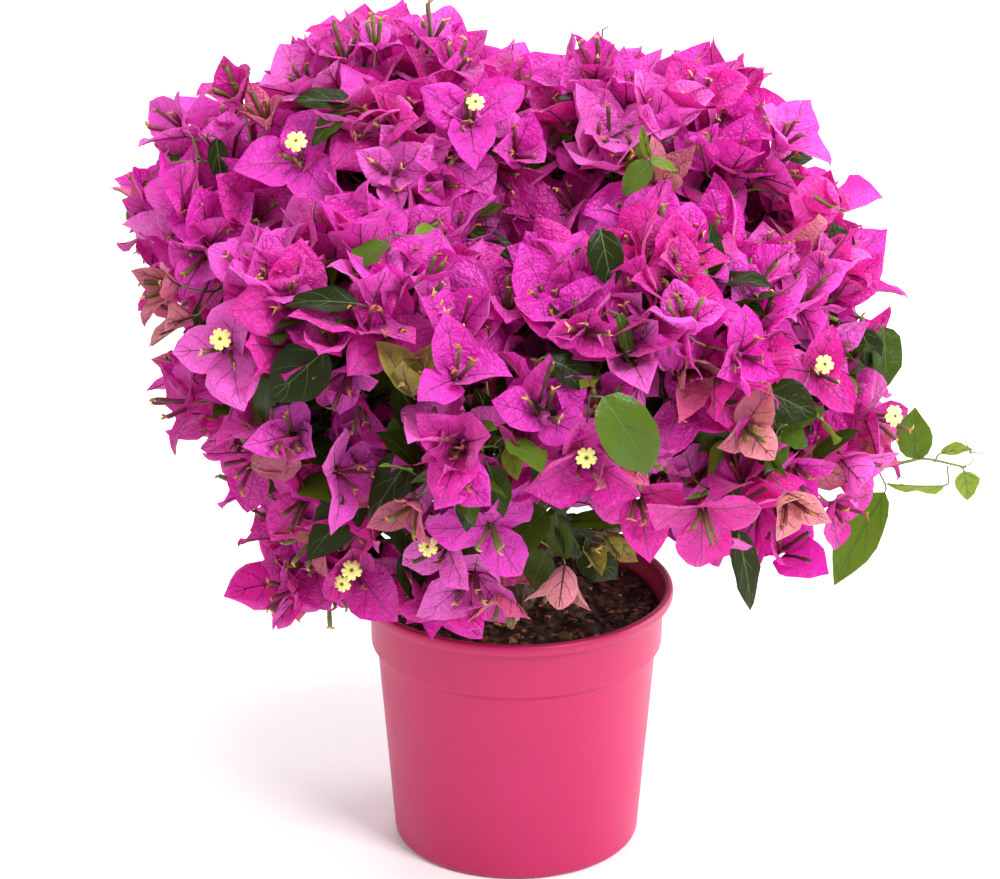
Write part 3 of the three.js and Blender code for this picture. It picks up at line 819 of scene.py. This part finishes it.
def blades(foot, ahead, face, length, half_width, swell, bend, hook, cup, keel, rim, ripple, twist, seed):
    """Leaf blades as grids, (blades, rows, columns, 3), and their UV maps in centimetres.
    The midrib leaves foot along ahead and turns away from face by bend along its length, and by hook
    in its last third. The half width is t^p (1-t)^q with its greatest value 1, drawn in towards the tip
    by the swell's third number. Across, each half is an arc of the angle cup that flattens towards the
    tip, raised as a V by keel, with its outer fifth bent up by rim, and its edge rises and falls by
    ripple. The blade turns about its midrib by twist."""
    draw = np.random.default_rng(seed)
    count = len(foot)
    t = BLADE_ROWS
    u = BLADE_COLUMNS
    p, q, drawn = swell
    turned_by = bend[:, None] * t + hook[:, None] * np.clip((t - 0.66) / 0.34, 0, 1) ** 2
    sine, cosine = np.sin(turned_by)[..., None], np.cos(turned_by)[..., None]
    way = cosine * ahead[:, None] - sine * face[:, None]
    above = sine * ahead[:, None] + cosine * face[:, None]
    step = np.diff(t)[None, :, None] * length[:, None, None] * (way[:, 1:] + way[:, :-1]) / 2
    midrib = foot[:, None] + np.concatenate([np.zeros((count, 1, 3)), np.cumsum(step, axis=1)], axis=1)
    side = np.broadcast_to(np.cross(ahead, face)[:, None], way.shape)
    roll = (twist[:, None] * t)[..., None]
    side, above = np.cos(roll) * side + np.sin(roll) * above, np.cos(roll) * above - np.sin(roll) * side
    peak = (p / (p + q)) ** p * (q / (p + q)) ** q
    outline = t**p * (1 - t) ** q / peak * (1 - drawn * np.clip((t - 0.55) / 0.45, 0, 1) ** 2)
    width = half_width[:, None] * np.maximum(outline, 0.012)
    arc = (cup[:, None] * (1 - 0.6 * t))[..., None]
    across = width[..., None] * np.sin(arc * u) / arc
    waves = draw.uniform(1.1, 2.2, (count, 1, 2))
    starts = draw.uniform(0, 2 * np.pi, (count, 1, 2))
    wave = np.sin(2 * np.pi * waves * t[None, :, None] + starts)
    edge = np.where(u < 0, wave[..., :1], wave[..., 1:]) * np.abs(u) ** 1.6
    rise = width[..., None] * ((1 - np.cos(arc * u)) / arc + keel[:, None, None] * np.abs(u))
    rise = rise + width[..., None] * ripple[:, None, None] * edge
    rise = rise + width[..., None] * rim[:, None, None] * np.clip(np.abs(u) - 0.8, 0, 1)
    rise = rise + draw.normal(size=rise.shape) * 0.034 * width[..., None] * (np.abs(u) > 0)
    grid = midrib[:, :, None] + across[..., None] * side[:, :, None] + rise[..., None] * above[:, :, None]
    shift = draw.uniform(0, 40, (count, 1, 1, 2))
    along = np.broadcast_to((length[:, None] * t)[..., None], rise.shape)
    return grid, np.stack([width[..., None] * u, along], axis=-1) / (10 * MM) + shift


def facing_of(grid):
    """The way each corner of a grid of blades faces, from its neighbours along and across."""
    return unit(np.cross(np.gradient(grid, axis=2), np.gradient(grid, axis=1)))


def ribbons(points, above, half_width, lift, ridge):
    """Thin raised strips along paths, (strips, steps, columns, 3): both edges lie lift above the
    surface, and where there is a ridge, a third column in the middle stands ridge higher."""
    side = unit(np.cross(np.gradient(points, axis=1), above))
    column = np.array([-1.0, 0.0, 1.0] if ridge else [-1.0, 1.0])
    height = lift + ridge * (column == 0)
    return (
        points[:, :, None]
        + side[:, :, None] * (half_width[..., None] * column)[..., None]
        + above[:, :, None] * height[:, None]
    )


def midribs(grid, upper, half_width, ridge):
    """The midrib of each blade on its upper or under side, tapering to nothing at the tip."""
    above = facing_of(grid)[:, :, MIDDLE] * (1 if upper else -1)
    taper = half_width * (1 - 0.8 * BLADE_ROWS)
    strips = ribbons(grid[:, :, MIDDLE], above, np.broadcast_to(taper, grid.shape[:2]), 0.04 * MM, ridge)
    return strips[:, :-1]


def side_veins(grid, upper, half_width):
    """Three pairs of side veins for each blade, which leave the midrib and run out and forwards."""
    above = facing_of(grid) * (1 if upper else -1)
    paths, facings = [], []
    for row in (1, 3, 5):
        for turn in (-1, 1):
            rows = np.array([row, row + 1, row + 2])
            columns = MIDDLE + turn * np.array([0, 1, 2])
            paths.append(grid[:, rows, columns])
            facings.append(above[:, rows, columns])
    paths, facings = np.concatenate(paths), np.concatenate(facings)
    taper = np.broadcast_to(half_width * np.array([1.0, 0.8, 0.45]), paths.shape[:2])
    return ribbons(paths, facings, taper, 0.1 * MM, 0)


def living_tissue(name, colour, glow, net, net_top, swell, swell_share, relief, gloss, shine, through):
    """A thin living tissue that light shines through, glow being the colour of that light. Its relief
    is a net of veins, level from net_top up, and a noise that swells between them. Net and swell are
    set per centimetre of its UV map. The swellings change its roughness within gloss."""
    roughness = {**NOISE_SPAN, "To Min": gloss[0], "To Max": gloss[1]}
    return new_material(
        name,
        [
            ("place", "UVMap", {"uv_map": "UVMap"}, {}),
            ("net", "TexVoronoi", {"feature": "DISTANCE_TO_EDGE", "Scale": net}, {"Vector": ("place", 0)}),
            ("veins", "Math", {"operation": "MINIMUM", 1: net_top}, {0: ("net", 0)}),
            ("swell", "TexNoise", swell, {"Vector": ("place", 0)}),
            (
                "height",
                "Math",
                {"operation": "MULTIPLY_ADD", 1: swell_share},
                {0: ("swell", "Fac"), 2: ("veins", 0)},
            ),
            ("relief", "Bump", relief, {"Height": ("height", 0)}),
            ("gloss", "MapRange", roughness, {"Value": ("swell", "Fac")}),
            (
                "skin",
                "BsdfPrincipled",
                {"Base Color": linear(colour), **shine},
                {"Normal": ("relief", 0), "Roughness": ("gloss", 0)},
            ),
            ("glow", "BsdfTranslucent", {"Color": linear(glow)}, {}),
            ("both", "MixShader", {0: through}, {1: ("skin", 0), 2: ("glow", 0)}),
        ],
    )


# Single leaves stand below the sprays, and leafy shoots carry four each in a rising spiral.
TUFT_LEAVES = 4
BENT_LENGTH = 1.04  # length of a bent blade against the straight line from its foot to its tip
SINGLE_SHARE_LOW, SINGLE_SHARE = 0.22, 0.12  # share of the sprays with a leaf, low down and elsewhere
random = np.random.default_rng(31)
sprayed = len(spray_place)
leaf_share = np.where(spray_place[:, 2] < 0.29, SINGLE_SHARE_LOW, SINGLE_SHARE)
single = np.flatnonzero(random.uniform(size=sprayed) < leaf_share)
tufted = np.repeat(np.arange(sprayed, len(shoot_place)), TUFT_LEAVES)
carrier = np.concatenate([single, tufted])
order_on_shoot = np.concatenate(
    [random.integers(3, 6, len(single)), np.tile(np.arange(TUFT_LEAVES), len(tufted) // TUFT_LEAVES)]
)
share = 1 - (order_on_shoot * 0.13 + random.uniform(0, 0.08, len(carrier)))
step_at = np.clip(share * (TWIG_STEPS - 1), 0, TWIG_STEPS - 1.001)
row_at = step_at.astype(int)
part = (step_at - row_at)[:, None]
carrying = limb_paths[twig_of[carrier]]
pick = np.arange(len(carrier))
leaf_root = carrying[pick, row_at] * (1 - part) + carrying[pick, row_at + 1] * part
leaf_stem_way = unit(carrying[pick, row_at + 1] - carrying[pick, row_at])
spiral = order_on_shoot * 2.4 + random.uniform(0, 6.28, len(shoot_place))[carrier]
first = unit(np.cross(leaf_stem_way, UP + 0.01))
second = np.cross(leaf_stem_way, first)
outwards = np.cos(spiral)[:, None] * first + np.sin(spiral)[:, None] * second
lean = random.uniform(0.7, 1.25, len(carrier))[:, None]
leaf_ahead = unit(np.cos(lean) * leaf_stem_way + np.sin(lean) * outwards + [0, 0, 0.1])
upright = unit(leaf_stem_way * 0.7 + UP * 0.8 + 0.25 * random.normal(size=(len(carrier), 3)))
leaf_face = square_to(leaf_ahead, upright)
tufty = carrier >= sprayed
leaf_length = np.where(tufty, 22 + 5 * order_on_shoot, random.uniform(25, 38, len(carrier))) * MM
leaf_length = leaf_length * random.uniform(0.85, 1.15, len(carrier))
stalk = random.uniform(5, 10, len(carrier))[:, None] * MM
leaf_foot = leaf_root + leaf_ahead * stalk
inside = beyond(leaf_foot + leaf_ahead * leaf_length[:, None])[0] < 3 * MM
young = (tufty & (order_on_shoot < 1))[inside]
stalk_way = unit(leaf_stem_way + outwards)[inside]
leaf_root, leaf_length = leaf_root[inside], leaf_length[inside]
leaf_foot, leaf_ahead, leaf_face = leaf_foot[inside], leaf_ahead[inside], leaf_face[inside]
grown = len(leaf_foot)

# The listed leaves hang from the nearest twig.
hand_reach = hand_tip - hand_foot
hand_ahead = unit(hand_reach)
hand_face = square_to(hand_ahead, unit(np.array(hand_faces, float)))
twig_points = limb_paths.reshape(-1, 3)
nearest_twig = np.linalg.norm(hand_foot[:, None] - twig_points, axis=-1).argmin(axis=1)
leaf_root = np.vstack([leaf_root, twig_points[nearest_twig]])
stalk_way = np.vstack([stalk_way, unit(hand_foot - twig_points[nearest_twig])])
leaf_foot = np.vstack([leaf_foot, hand_foot])
leaf_ahead = np.vstack([leaf_ahead, hand_ahead])
leaf_face = np.vstack([leaf_face, hand_face])
leaf_length = np.append(leaf_length, np.linalg.norm(hand_reach, axis=1) * BENT_LENGTH)
half = leaf_length / 2 * np.append(random.uniform(0.5, 0.68, grown), hand_widths)
leaf_tint = random.choice(3, grown, p=[0.5, 0.35, 0.15])
leaf_tint = np.where(young, 3, leaf_tint)
leaf_tint = np.append(leaf_tint, hand_tints)
count = len(leaf_foot)
leaf_grid, leaf_uv = blades(
    leaf_foot, leaf_ahead, leaf_face, leaf_length, half, (0.5, 0.78, 0.35),
    bend=random.uniform(0.1, 0.7, count), hook=random.uniform(-0.1, 0.6, count),
    cup=random.uniform(0.15, 0.5, count), keel=random.uniform(0.02, 0.2, count), rim=np.full(count, -0.3),
    ripple=random.uniform(0.08, 0.2, count), twist=random.normal(0, 0.25, count), seed=32,
)
# Living leaves have a waxy skin with soft broad highlights, and veins in a net nearly 3 mm wide.
leaf_tints = [
    # The first tint is the dark green of old leaves, darkened to nearly black as painted shade.
    ("dark_leaves", "#1c2602", "#4a5e0c", 0.36),
    ("green_leaves", "#324608", "#667e14", 0.36),
    ("bright_leaves", "#48621a", "#7c9a2a", 0.27),
    ("young_leaves", "#6a8026", "#98ac34", 0.42),
]
for number, (name, colour, glow, roughness) in enumerate(leaf_tints):
    mine = leaf_tint == number
    tissue = living_tissue(
        name.replace("leaves", "leaf_tissue"), colour, glow, net=3.6, net_top=1.0,
        swell={"Scale": 1.3, "Detail": 2.0}, swell_share=1.6,
        relief={"Strength": 0.55, "Distance": 0.5 * MM}, gloss=(roughness - 0.08, roughness + 0.08),
        shine={"IOR": 1.45, "Specular IOR Level": 0.2}, through=0.18,
    )
    made = piece(name, leaf_grid[mine], tissue, uv=leaf_uv[mine])
    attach(made, "root")
leaf_ribs = np.concatenate(
    [midribs(leaf_grid, True, 0.35 * MM, 0.1 * MM), midribs(leaf_grid, False, 0.5 * MM, 0.35 * MM)]
)
leaf_veins = np.concatenate([side_veins(leaf_grid, True, 0.13 * MM), side_veins(leaf_grid, False, 0.2 * MM)])
rib_skin = young_bark("leaf_rib_skin", "#435f20")
STALK_STEPS = 4
stalk_paths = bent(leaf_root, stalk_way, leaf_foot, leaf_ahead, STALK_STEPS)
stalks = swept(stalk_paths, np.full((len(leaf_foot), STALK_STEPS), 0.5 * MM), 5)
leaf_parts = [("leaf_midribs", leaf_ribs, False), ("leaf_side_veins", leaf_veins, False)]
for name, grid, closed in [*leaf_parts, ("leaf_stalks", stalks, True)]:
    made = piece(name, grid, rib_skin, closed=closed, capped=closed)
    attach(made, "root")

# ---- bracts --------------------------------------------------------------------------------
# What look like petals are bracts, papery leaves in threes round each group of flowers. They are
# egg-shaped with a drawn-out tip, cupped round the flowers below and bent back at their tips.
random = np.random.default_rng(51)
BRACT_START = 1.6 * MM  # distance of a bract's foot from its spray's middle
spray_count = len(spray_place)
across_axis = unit(np.cross(UP + [0.001, 0, 0], spray_axis))
up_axis = np.cross(spray_axis, across_axis)
openness = {"ripe": (0.62, 0.22), "coral": (0.42, 0.12), "bud": (0.16, 0.05)}
opening = np.array([random.normal(*openness[kind]) for kind in spray_kind]).clip(0.08, 1.15)
# Ripe sprays are less open high in the crown, and the listed ones are wider open.
opening -= 0.2 * np.clip((spray_place[:, 2] - 0.29) / 0.06, 0, 1) * (opening > 0.4)
by_hand = slice(-len(placed_sprays), None)
opening[by_hand] += np.where(spray_flowers[by_hand] > 0, 0.32, 0.17)
bract_spray = np.repeat(np.arange(spray_count), 3)
third = np.tile(np.arange(3), spray_count) * 2 * np.pi / 3
bract_angle = (spray_turn[bract_spray] + third + random.normal(0, 0.13, 3 * spray_count))[:, None]
out = np.cos(bract_angle) * across_axis[bract_spray] + np.sin(bract_angle) * up_axis[bract_spray]
axis = spray_axis[bract_spray]
opened = (opening[bract_spray] + random.normal(0, 0.12, len(bract_spray))).clip(0.05, 1.3)[:, None]
bract_ahead = np.cos(opened) * axis + np.sin(opened) * out
bract_face = np.sin(opened) * axis - np.cos(opened) * out
bract_foot = spray_place[bract_spray] + out * BRACT_START
bract_length = spray_length[bract_spray] * random.normal(1, 0.06, len(bract_spray)) * MM
bract_kind = spray_kind[bract_spray]
ripe = bract_kind == "ripe"
count = len(bract_spray)
wide, slim = random.uniform(0.68, 0.88, count), random.uniform(0.55, 0.7, count)
bract_half = bract_length / 2 * np.where(ripe, wide, slim)
bract_grid, bract_uv = blades(
    bract_foot, bract_ahead, bract_face, bract_length, bract_half, (0.5, 0.72, 0.68),
    bend=np.where(ripe, random.normal(0.45, 0.35, count), random.normal(0.2, 0.2, count)),
    hook=random.normal(0.25, 0.65, count),
    cup=np.where(ripe, random.uniform(0.35, 1.05, count), random.uniform(0.8, 1.3, count)),
    keel=random.uniform(-0.05, 0.28, count),
    rim=random.normal(-0.2, 0.7, count),
    ripple=random.uniform(0.06, 0.22, count),
    twist=random.normal(0, 0.28, count),
    seed=52,
)

# A bract is thin dry tissue, dyed by its sap, with pale satin highlights on its puckers. These are its
# tints: the kind of spray, how common they are in it, the colour, and that of light from behind.
bract_tints = [
    ("bracts_magenta", "ripe", 0.30, "#e230c0", "#f022b0"),
    ("bracts_bright", "ripe", 0.22, "#ea4ccc", "#f648c4"),
    ("bracts_deep", "ripe", 0.18, "#d020a2", "#de1c94"),
    ("bracts_rosy", "ripe", 0.18, "#de26a8", "#ee2098"),
    ("bracts_light", "ripe", 0.08, "#ee60ce", "#f860ca"),
    ("bracts_coral", "coral", 0.45, "#d8548c", "#ee7894"),
    ("bracts_young", "coral", 0.30, "#dc8098", "#eea494"),
    ("bracts_olive_pink", "coral", 0.25, "#b65a76", "#cc8472"),
    ("bracts_olive", "bud", 1.0, "#8d8634", "#b8ac44"),
]
spray_tint = np.zeros(spray_count, int)
for kind in openness:
    numbers = [i for i, tint in enumerate(bract_tints) if tint[1] == kind]
    weights = np.array([bract_tints[i][2] for i in numbers])
    by_cluster = random.choice(numbers, len(shoot_place) + 2, p=weights / weights.sum())
    own = random.choice(numbers, spray_count, p=weights / weights.sum())
    shared = np.where(random.uniform(size=spray_count) < 0.6, by_cluster[spray_cluster[:spray_count]], own)
    spray_tint = np.where(spray_kind == kind, shared, spray_tint)
bract_tint = spray_tint[bract_spray]
mixed_spray = (bract_kind == "coral") & (random.uniform(size=count) < 0.5)
coral_tints = [i for i, tint in enumerate(bract_tints) if tint[1] == "coral"]
bract_tint = np.where(mixed_spray, random.choice(coral_tints, count), bract_tint)
for number, (name, _, _, colour, glow) in enumerate(bract_tints):
    mine = bract_tint == number
    if not mine.any():
        continue
    tissue = living_tissue(
        name.replace("bracts", "bract_tissue"), colour, glow, net=3.0, net_top=0.15,
        swell={"Scale": 1.5, "Detail": 4.0, "Roughness": 0.6}, swell_share=1.7,
        relief={"Strength": 0.85, "Distance": 2.5 * MM}, gloss=(0.27, 0.44),
        shine={"IOR": 1.5, "Sheen Weight": 0.3, "Sheen Roughness": 0.35}, through=0.32,
    )
    made = piece(name, bract_grid[mine], tissue, uv=bract_uv[mine])
    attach(made, "root")
    if name == "bracts_magenta":
        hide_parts(*mass_names)

# Midribs are thick and brownish behind a bract, and thin and dark red on its face. The sprays behind
# the outer ones lie in shade, and go without.
ribbed = bract_grid[~behind[bract_spray]]
rib_pieces = [
    ("bract_back_ribs", midribs(ribbed, False, 0.66 * MM, 0.5 * MM), "#5c2c2c"),
    ("bract_face_ribs", midribs(ribbed, True, 0.46 * MM, 0.12 * MM), "#5c1038"),
    ("bract_face_veins", side_veins(ribbed, True, 0.2 * MM), "#8c1462"),
    ("bract_back_veins", side_veins(ribbed, False, 0.24 * MM), "#8a2058"),
]
for name, strips, colour in rib_pieces:
    made = piece(name, strips, young_bark(name.replace("bract", "skin_of_bract"), colour))
    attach(made, "root")

# ---- flowers -------------------------------------------------------------------------------
# The true flowers are three thin five-angled tubes in the middle of each spray, one on the foot of
# each bract. Most have withered to a curled golden tip, and a few are open as small cream stars.
random = np.random.default_rng(61)
TUBE_PROFILE = np.array([0.7, 1.35, 1.3, 1.0, 1.1, 1.35, 1.15])
tube_length = random.normal(18, 2.5, count).clip(11, 23) * MM * np.where(bract_kind == "bud", 0.6, 1)
tube_way = unit(axis + 0.28 * out + 0.12 * random.normal(size=(count, 3)))
tube_foot = spray_place[bract_spray] + out * 1.9 * MM + axis * 1.0 * MM
tube_end = tube_foot + tube_way * tube_length[:, None]
tube_paths = bent(tube_foot, axis, tube_end, tube_way, len(TUBE_PROFILE))
tube_radii = TUBE_PROFILE * MM * random.uniform(0.85, 1.15, (count, 1))
open_number = np.tile(np.arange(3), spray_count)
is_open_flower = open_number < spray_flowers[bract_spray]
TUBE_RINGS = [0, 1, 3, 5, 6]  # the rings that carry its outline
tube_paths, tube_radii = tube_paths[:, TUBE_RINGS], tube_radii[:, TUBE_RINGS]
tube_tints = [("tubes_olive", "#66632a"), ("tubes_maroon", "#6a2438"), ("tubes_brown", "#5a4526")]
tube_tint = random.choice(3, spray_count, p=[0.3, 0.4, 0.3])[bract_spray]
for number, (name, colour) in enumerate(tube_tints):
    mine = tube_tint == number
    skin = young_bark(name.replace("tubes", "tube_skin"), colour)
    made = piece(name, swept(tube_paths[mine], tube_radii[mine], 5), skin, closed=True, capped=True)
    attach(made, "root")

# A withered flower keeps two of its lobes, dried to curled golden strips.
LOBE_STEPS = 4
dry = np.repeat(np.flatnonzero(~is_open_flower), 2)
lobe_side = unit(np.cross(tube_way[dry], random.normal(size=(len(dry), 3))))
lobe_reach = random.uniform(1.8, 4.2, len(dry))[:, None] * MM
lobe_end = tube_end[dry] + tube_way[dry] * lobe_reach * 0.5 + lobe_side * lobe_reach
lobe_way = unit(lobe_side * 0.6 - tube_way[dry] * random.uniform(-0.6, 1.4, (len(dry), 1)))
lobe_paths = bent(tube_end[dry] - tube_way[dry] * 0.5 * MM, tube_way[dry], lobe_end, lobe_way, LOBE_STEPS)
lobe_radii = np.array([0.8, 1.0, 0.85, 0.3]) * MM * random.uniform(0.7, 1.1, (len(dry), 1))
lobe_grids = swept(lobe_paths, lobe_radii, 3, random.uniform(0.3, 0.7, len(dry)))
lobe_tints = [("dry_lobes_golden", "#aa7030"), ("dry_lobes_cream", "#c69a5c"), ("dry_lobes_rust", "#84482a")]
lobe_tint = random.choice(3, spray_count, p=[0.45, 0.3, 0.25])[bract_spray][dry]
for number, (name, colour) in enumerate(lobe_tints):
    mine = (lobe_tint == number) & ~behind[bract_spray[dry]]
    made = piece(name, lobe_grids[mine], matt(name, colour, 0.65, 0.5, 0.2), closed=True, capped=True)
    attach(made, "root")


def stars(middle, way, size, seed):
    """Open flowers as polar grids, (flowers, rings, columns, 3). The outline is five rounded lobes with
    a notch in each, and the limb rises a little, flattens and waves at its edge."""
    draw = np.random.default_rng(seed)
    angle = np.linspace(0, 2 * np.pi, 41)[:-1]
    lobe = np.abs(np.cos(2.5 * angle)) ** 0.45
    notch = np.exp(-((np.abs(np.sin(2.5 * angle)) / 0.22) ** 2))
    outline = 0.62 + 0.38 * lobe - 0.16 * notch
    share = np.array([0.16, 0.4, 0.7, 1.0])[:, None]
    radius = share * (1 + (outline - 1) * share**1.5)
    height = 0.12 * np.sin(share * np.pi) - 0.10 * share**3 + 0.05 * share**2 * np.sin(10 * angle)
    first = unit(np.cross(way, UP + draw.normal(size=way.shape) * 0.3))
    second = np.cross(way, first)
    scale = size[:, None, None, None]
    flat = radius[..., None] * np.cos(angle)[:, None] * first[:, None, None]
    flat = flat + radius[..., None] * np.sin(angle)[:, None] * second[:, None, None]
    return middle[:, None, None] + scale * (flat + height[..., None] * way[:, None, None])


opened_flowers = np.flatnonzero(is_open_flower)
face_out = unit(tube_way[opened_flowers] + 0.4 * FRONT)
star_size = random.uniform(4.9, 6.6, len(opened_flowers)) * MM
star_grid = stars(tube_end[opened_flowers], face_out, star_size, 62)[:, ::-1]
throat_grid = stars(tube_end[opened_flowers] + face_out * 0.25 * MM, face_out, star_size * 0.42, 63)[:, ::-1]
pin_paths = tube_end[opened_flowers][:, None] + face_out[:, None] * np.array([-0.6, 0.2, 0.9])[:, None] * MM
pin_radii = np.broadcast_to(np.array([1.0, 1.05, 0.4]) * MM, pin_paths.shape[:2])
pins = swept(pin_paths, pin_radii, 8)
flower_parts = [
    ("open_flower_limbs", star_grid, matt("cream_limb_tissue", "#f0e88c", 0.5, 0.6, 0.15), False),
    ("open_flower_throats", throat_grid, matt("yellow_throat_tissue", "#c9b944", 0.6, 0.5, 0.1), False),
    ("flower_stamens", pins, matt("stamen_tissue", "#4a4118", 0.7, 0.4, 0.2), True),
]
for name, grid, tissue, capped in flower_parts:
    made = piece(name, grid, tissue, closed=True, capped=capped)
    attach(made, "root")

# ---- the long young shoot ------------------------------------------------------------------
# One soft young shoot leans far out of the crown at the right. It has a big hanging leaf near its
# foot, thinner ones along it, a curled tip of new leaves and two thin hooked thorns.
SHOOT_START = np.array([128, 4, 226])  # inside the crown
SHOOT_STEPS = 48
HOOK_STEPS = 10
shoot_line = limb_line("side_shoot", np.array([150, 0, 222]) * MM)
shoot_tip = np.array([239, -8, 216]) * MM
shoot_path = smooth_path([SHOOT_START * MM, *shoot_line, shoot_tip], SHOOT_STEPS)
shoot_radius = np.linspace(1.5, 0.55, SHOOT_STEPS) * MM
hooks = np.array(
    [
        [(241, -8, 224), (239, -8, 229), (235, -8, 236)],
        [(236, -8, 216), (242, -8, 219), (241, -8, 226)],
        [(241, -8, 225), (246, -8, 224), (251, -9, 223)],
    ]
) * MM
hook_paths = np.array([smooth_path(points, HOOK_STEPS) for points in hooks])
hook_radii = np.broadcast_to(np.linspace(0.45, 0.15, HOOK_STEPS) * MM, hook_paths.shape[:2])
stem_parts = [
    ("side_shoot_stem", swept(shoot_path[None], shoot_radius[None], 9)),
    ("side_shoot_hooks", swept(hook_paths, hook_radii, 6)),
]
for name, grid in stem_parts:
    made = piece(name, grid, green_bark, closed=True, capped=True)
    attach(made, "root")
    if name == "side_shoot_stem":
        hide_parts("side_shoot")

# Foot, tip, upper side, width share, bend, cup, and where its stalk leaves the shoot.
shoot_leaves = [
    ((196, -11, 203), (170, -20, 154), (-0.4, -0.85, 0.3), 0.42, 0.3, 0.45, (193, -6, 213)),
    ((228, -9, 206), (195, -11, 208), (0.0, -0.25, -1.0), 0.46, 0.15, 0.7, (229, -8, 217)),
    ((212, -6, 220), (211, -4, 248), (-0.3, -0.95, 0.1), 0.7, 0.3, 0.3, (212, -6, 219)),
    ((225, -8, 224), (242, -10, 227), (0.1, -0.5, 0.85), 0.5, 0.5, 0.9, (222, -8, 219)),
    ((238, -8, 214), (240, -12, 199), (0.3, -0.9, 0.2), 0.9, 0.5, 0.4, (237, -8, 216)),
    ((183, -6, 214), (181, -8, 226), (-0.5, -0.7, 0.1), 0.4, 0.3, 0.9, (184, -5, 214)),
    ((186, -7, 211), (190, -9, 199), (-0.5, -0.7, 0.1), 0.35, 0.3, 0.9, (186, -5, 213)),
]
feet, tips, faces, shares, bends, cups, starts = zip(*shoot_leaves)
own_foot = np.array(feet) * MM
own_reach = np.array(tips) * MM - own_foot
own_ahead = unit(own_reach)
own_face = square_to(own_ahead, unit(np.array(faces, float)))
own_bend = np.array(bends)
tilted_ahead = unit(own_ahead * np.cos(own_bend / 2)[:, None] + own_face * np.sin(own_bend / 2)[:, None])
tilted_face = unit(own_face * np.cos(own_bend / 2)[:, None] - own_ahead * np.sin(own_bend / 2)[:, None])
own_length = np.linalg.norm(own_reach, axis=1) * 1.03
zero = np.zeros(len(own_foot))
own_half = own_length / 2 * np.array(shares)
own_grid, own_uv = blades(
    own_foot, tilted_ahead, tilted_face, own_length, own_half, (0.62, 0.85, 0.4),
    bend=own_bend, hook=zero + 0.15, cup=np.array(cups), keel=zero + 0.14,
    rim=zero - 0.3, ripple=zero + 0.2, twist=zero + 0.1, seed=71,
)
own_start = np.array(starts) * MM
own_stalks = bent(own_start, unit(own_foot - own_start + 1e-5), own_foot, tilted_ahead, 6)
shoot_pieces = [
    ("shoot_big_leaf", own_grid[:1], own_uv[:1], "bright_leaf_tissue"),
    ("shoot_side_leaves", own_grid[2:3], own_uv[2:3], "bright_leaf_tissue"),
    ("shoot_young_leaves", own_grid[[1, 3, 4, 5, 6]], own_uv[[1, 3, 4, 5, 6]], "young_leaf_tissue"),
]
replaced = ["shoot_hanging_leaf", "shoot_side_leaf", "shoot_tip_leaves"]
for (name, grid, uv, tissue), node in zip(shoot_pieces, replaced):
    made = piece(name, grid, bpy.data.materials[tissue], uv=uv)
    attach(made, "root")
    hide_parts(node)
own_ribs = [midribs(own_grid, True, 0.3 * MM, 0.1 * MM), midribs(own_grid, False, 0.45 * MM, 0.3 * MM)]
own_veins = [side_veins(own_grid, True, 0.16 * MM), side_veins(own_grid, False, 0.2 * MM)]
own_stalk_grid = swept(own_stalks, np.full(own_stalks.shape[:2], 0.5 * MM), 6)
shoot_parts = [
    ("shoot_leaf_ribs", np.concatenate(own_ribs), rib_skin, False),
    ("shoot_leaf_veins", np.concatenate(own_veins), rib_skin, False),
    ("shoot_leaf_stalks", own_stalk_grid, green_bark, True),
]
for name, grid, skin, closed in shoot_parts:
    made = piece(name, grid, skin, closed=closed, capped=closed)
    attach(made, "root")

# ---- floor, light and camera ---------------------------------------------------------------
# A plain white floor under an even white sky, with large soft lights from the front right, the right,
# above and behind, and a camera that looks down on the bush by about 21 degrees.
FLOOR_SIZE = 9.0
floor_line = np.linspace(-FLOOR_SIZE, FLOOR_SIZE, 7)
floor_grid = np.stack(np.broadcast_arrays(floor_line, floor_line[:, None], 0.0), axis=-1)
floor = piece("studio_floor", floor_grid[None], matt("white_paper", "#fbfbfb", 0.9, 4.0, 0.02))

world = bpy.data.worlds.new("white_studio")
world.use_nodes = True
sky = world.node_tree.nodes["Background"]
sky.inputs["Color"].default_value = (1.0, 1.0, 1.0, 1.0)
sky.inputs["Strength"].default_value = 0.63
bpy.context.scene.world = world


def soft_light(name, place, target, size, power):
    """A square soft box at a place, turned to face its target."""
    data = bpy.data.lights.new(name, "AREA")
    data.shape = "SQUARE"
    data.size = size
    data.energy = power
    lamp = bpy.data.objects.new(name, data)
    lamp.location = place
    lamp.rotation_euler = (Vector(target) - Vector(place)).to_track_quat("-Z", "Y").to_euler()
    bpy.context.scene.collection.objects.link(lamp)


soft_light("key_light", (1.3, -1.5, 1.8), (0, 0, 0.28), 0.8, 50)
soft_light("top_light", (0.1, -0.4, 2.4), (0, 0, 0.3), 1.3, 35)
soft_light("side_light", (1.9, 0.55, 0.6), (0, 0, 0.18), 1.3, 34)
soft_light("fill_light", (-1.6, -0.9, 1.2), (0, 0, 0.25), 1.2, 5)
soft_light("back_light", (0.0, 1.8, 1.8), (0, 0, 0.3), 1.4, 20)
bpy.context.scene.view_settings.view_transform = "Standard"

camera_data = bpy.data.cameras.new("camera")
camera_data.sensor_width = 36
camera_data.lens = 138.1
LOOK_DOWN = 21.17  # degrees
camera = bpy.data.objects.new("camera", camera_data)
camera.location = (-0.009, -1.906, 0.967)
camera.rotation_euler = (math.radians(90 - LOOK_DOWN), 0, 0)
bpy.context.scene.collection.objects.link(camera)
bpy.context.scene.camera = camera
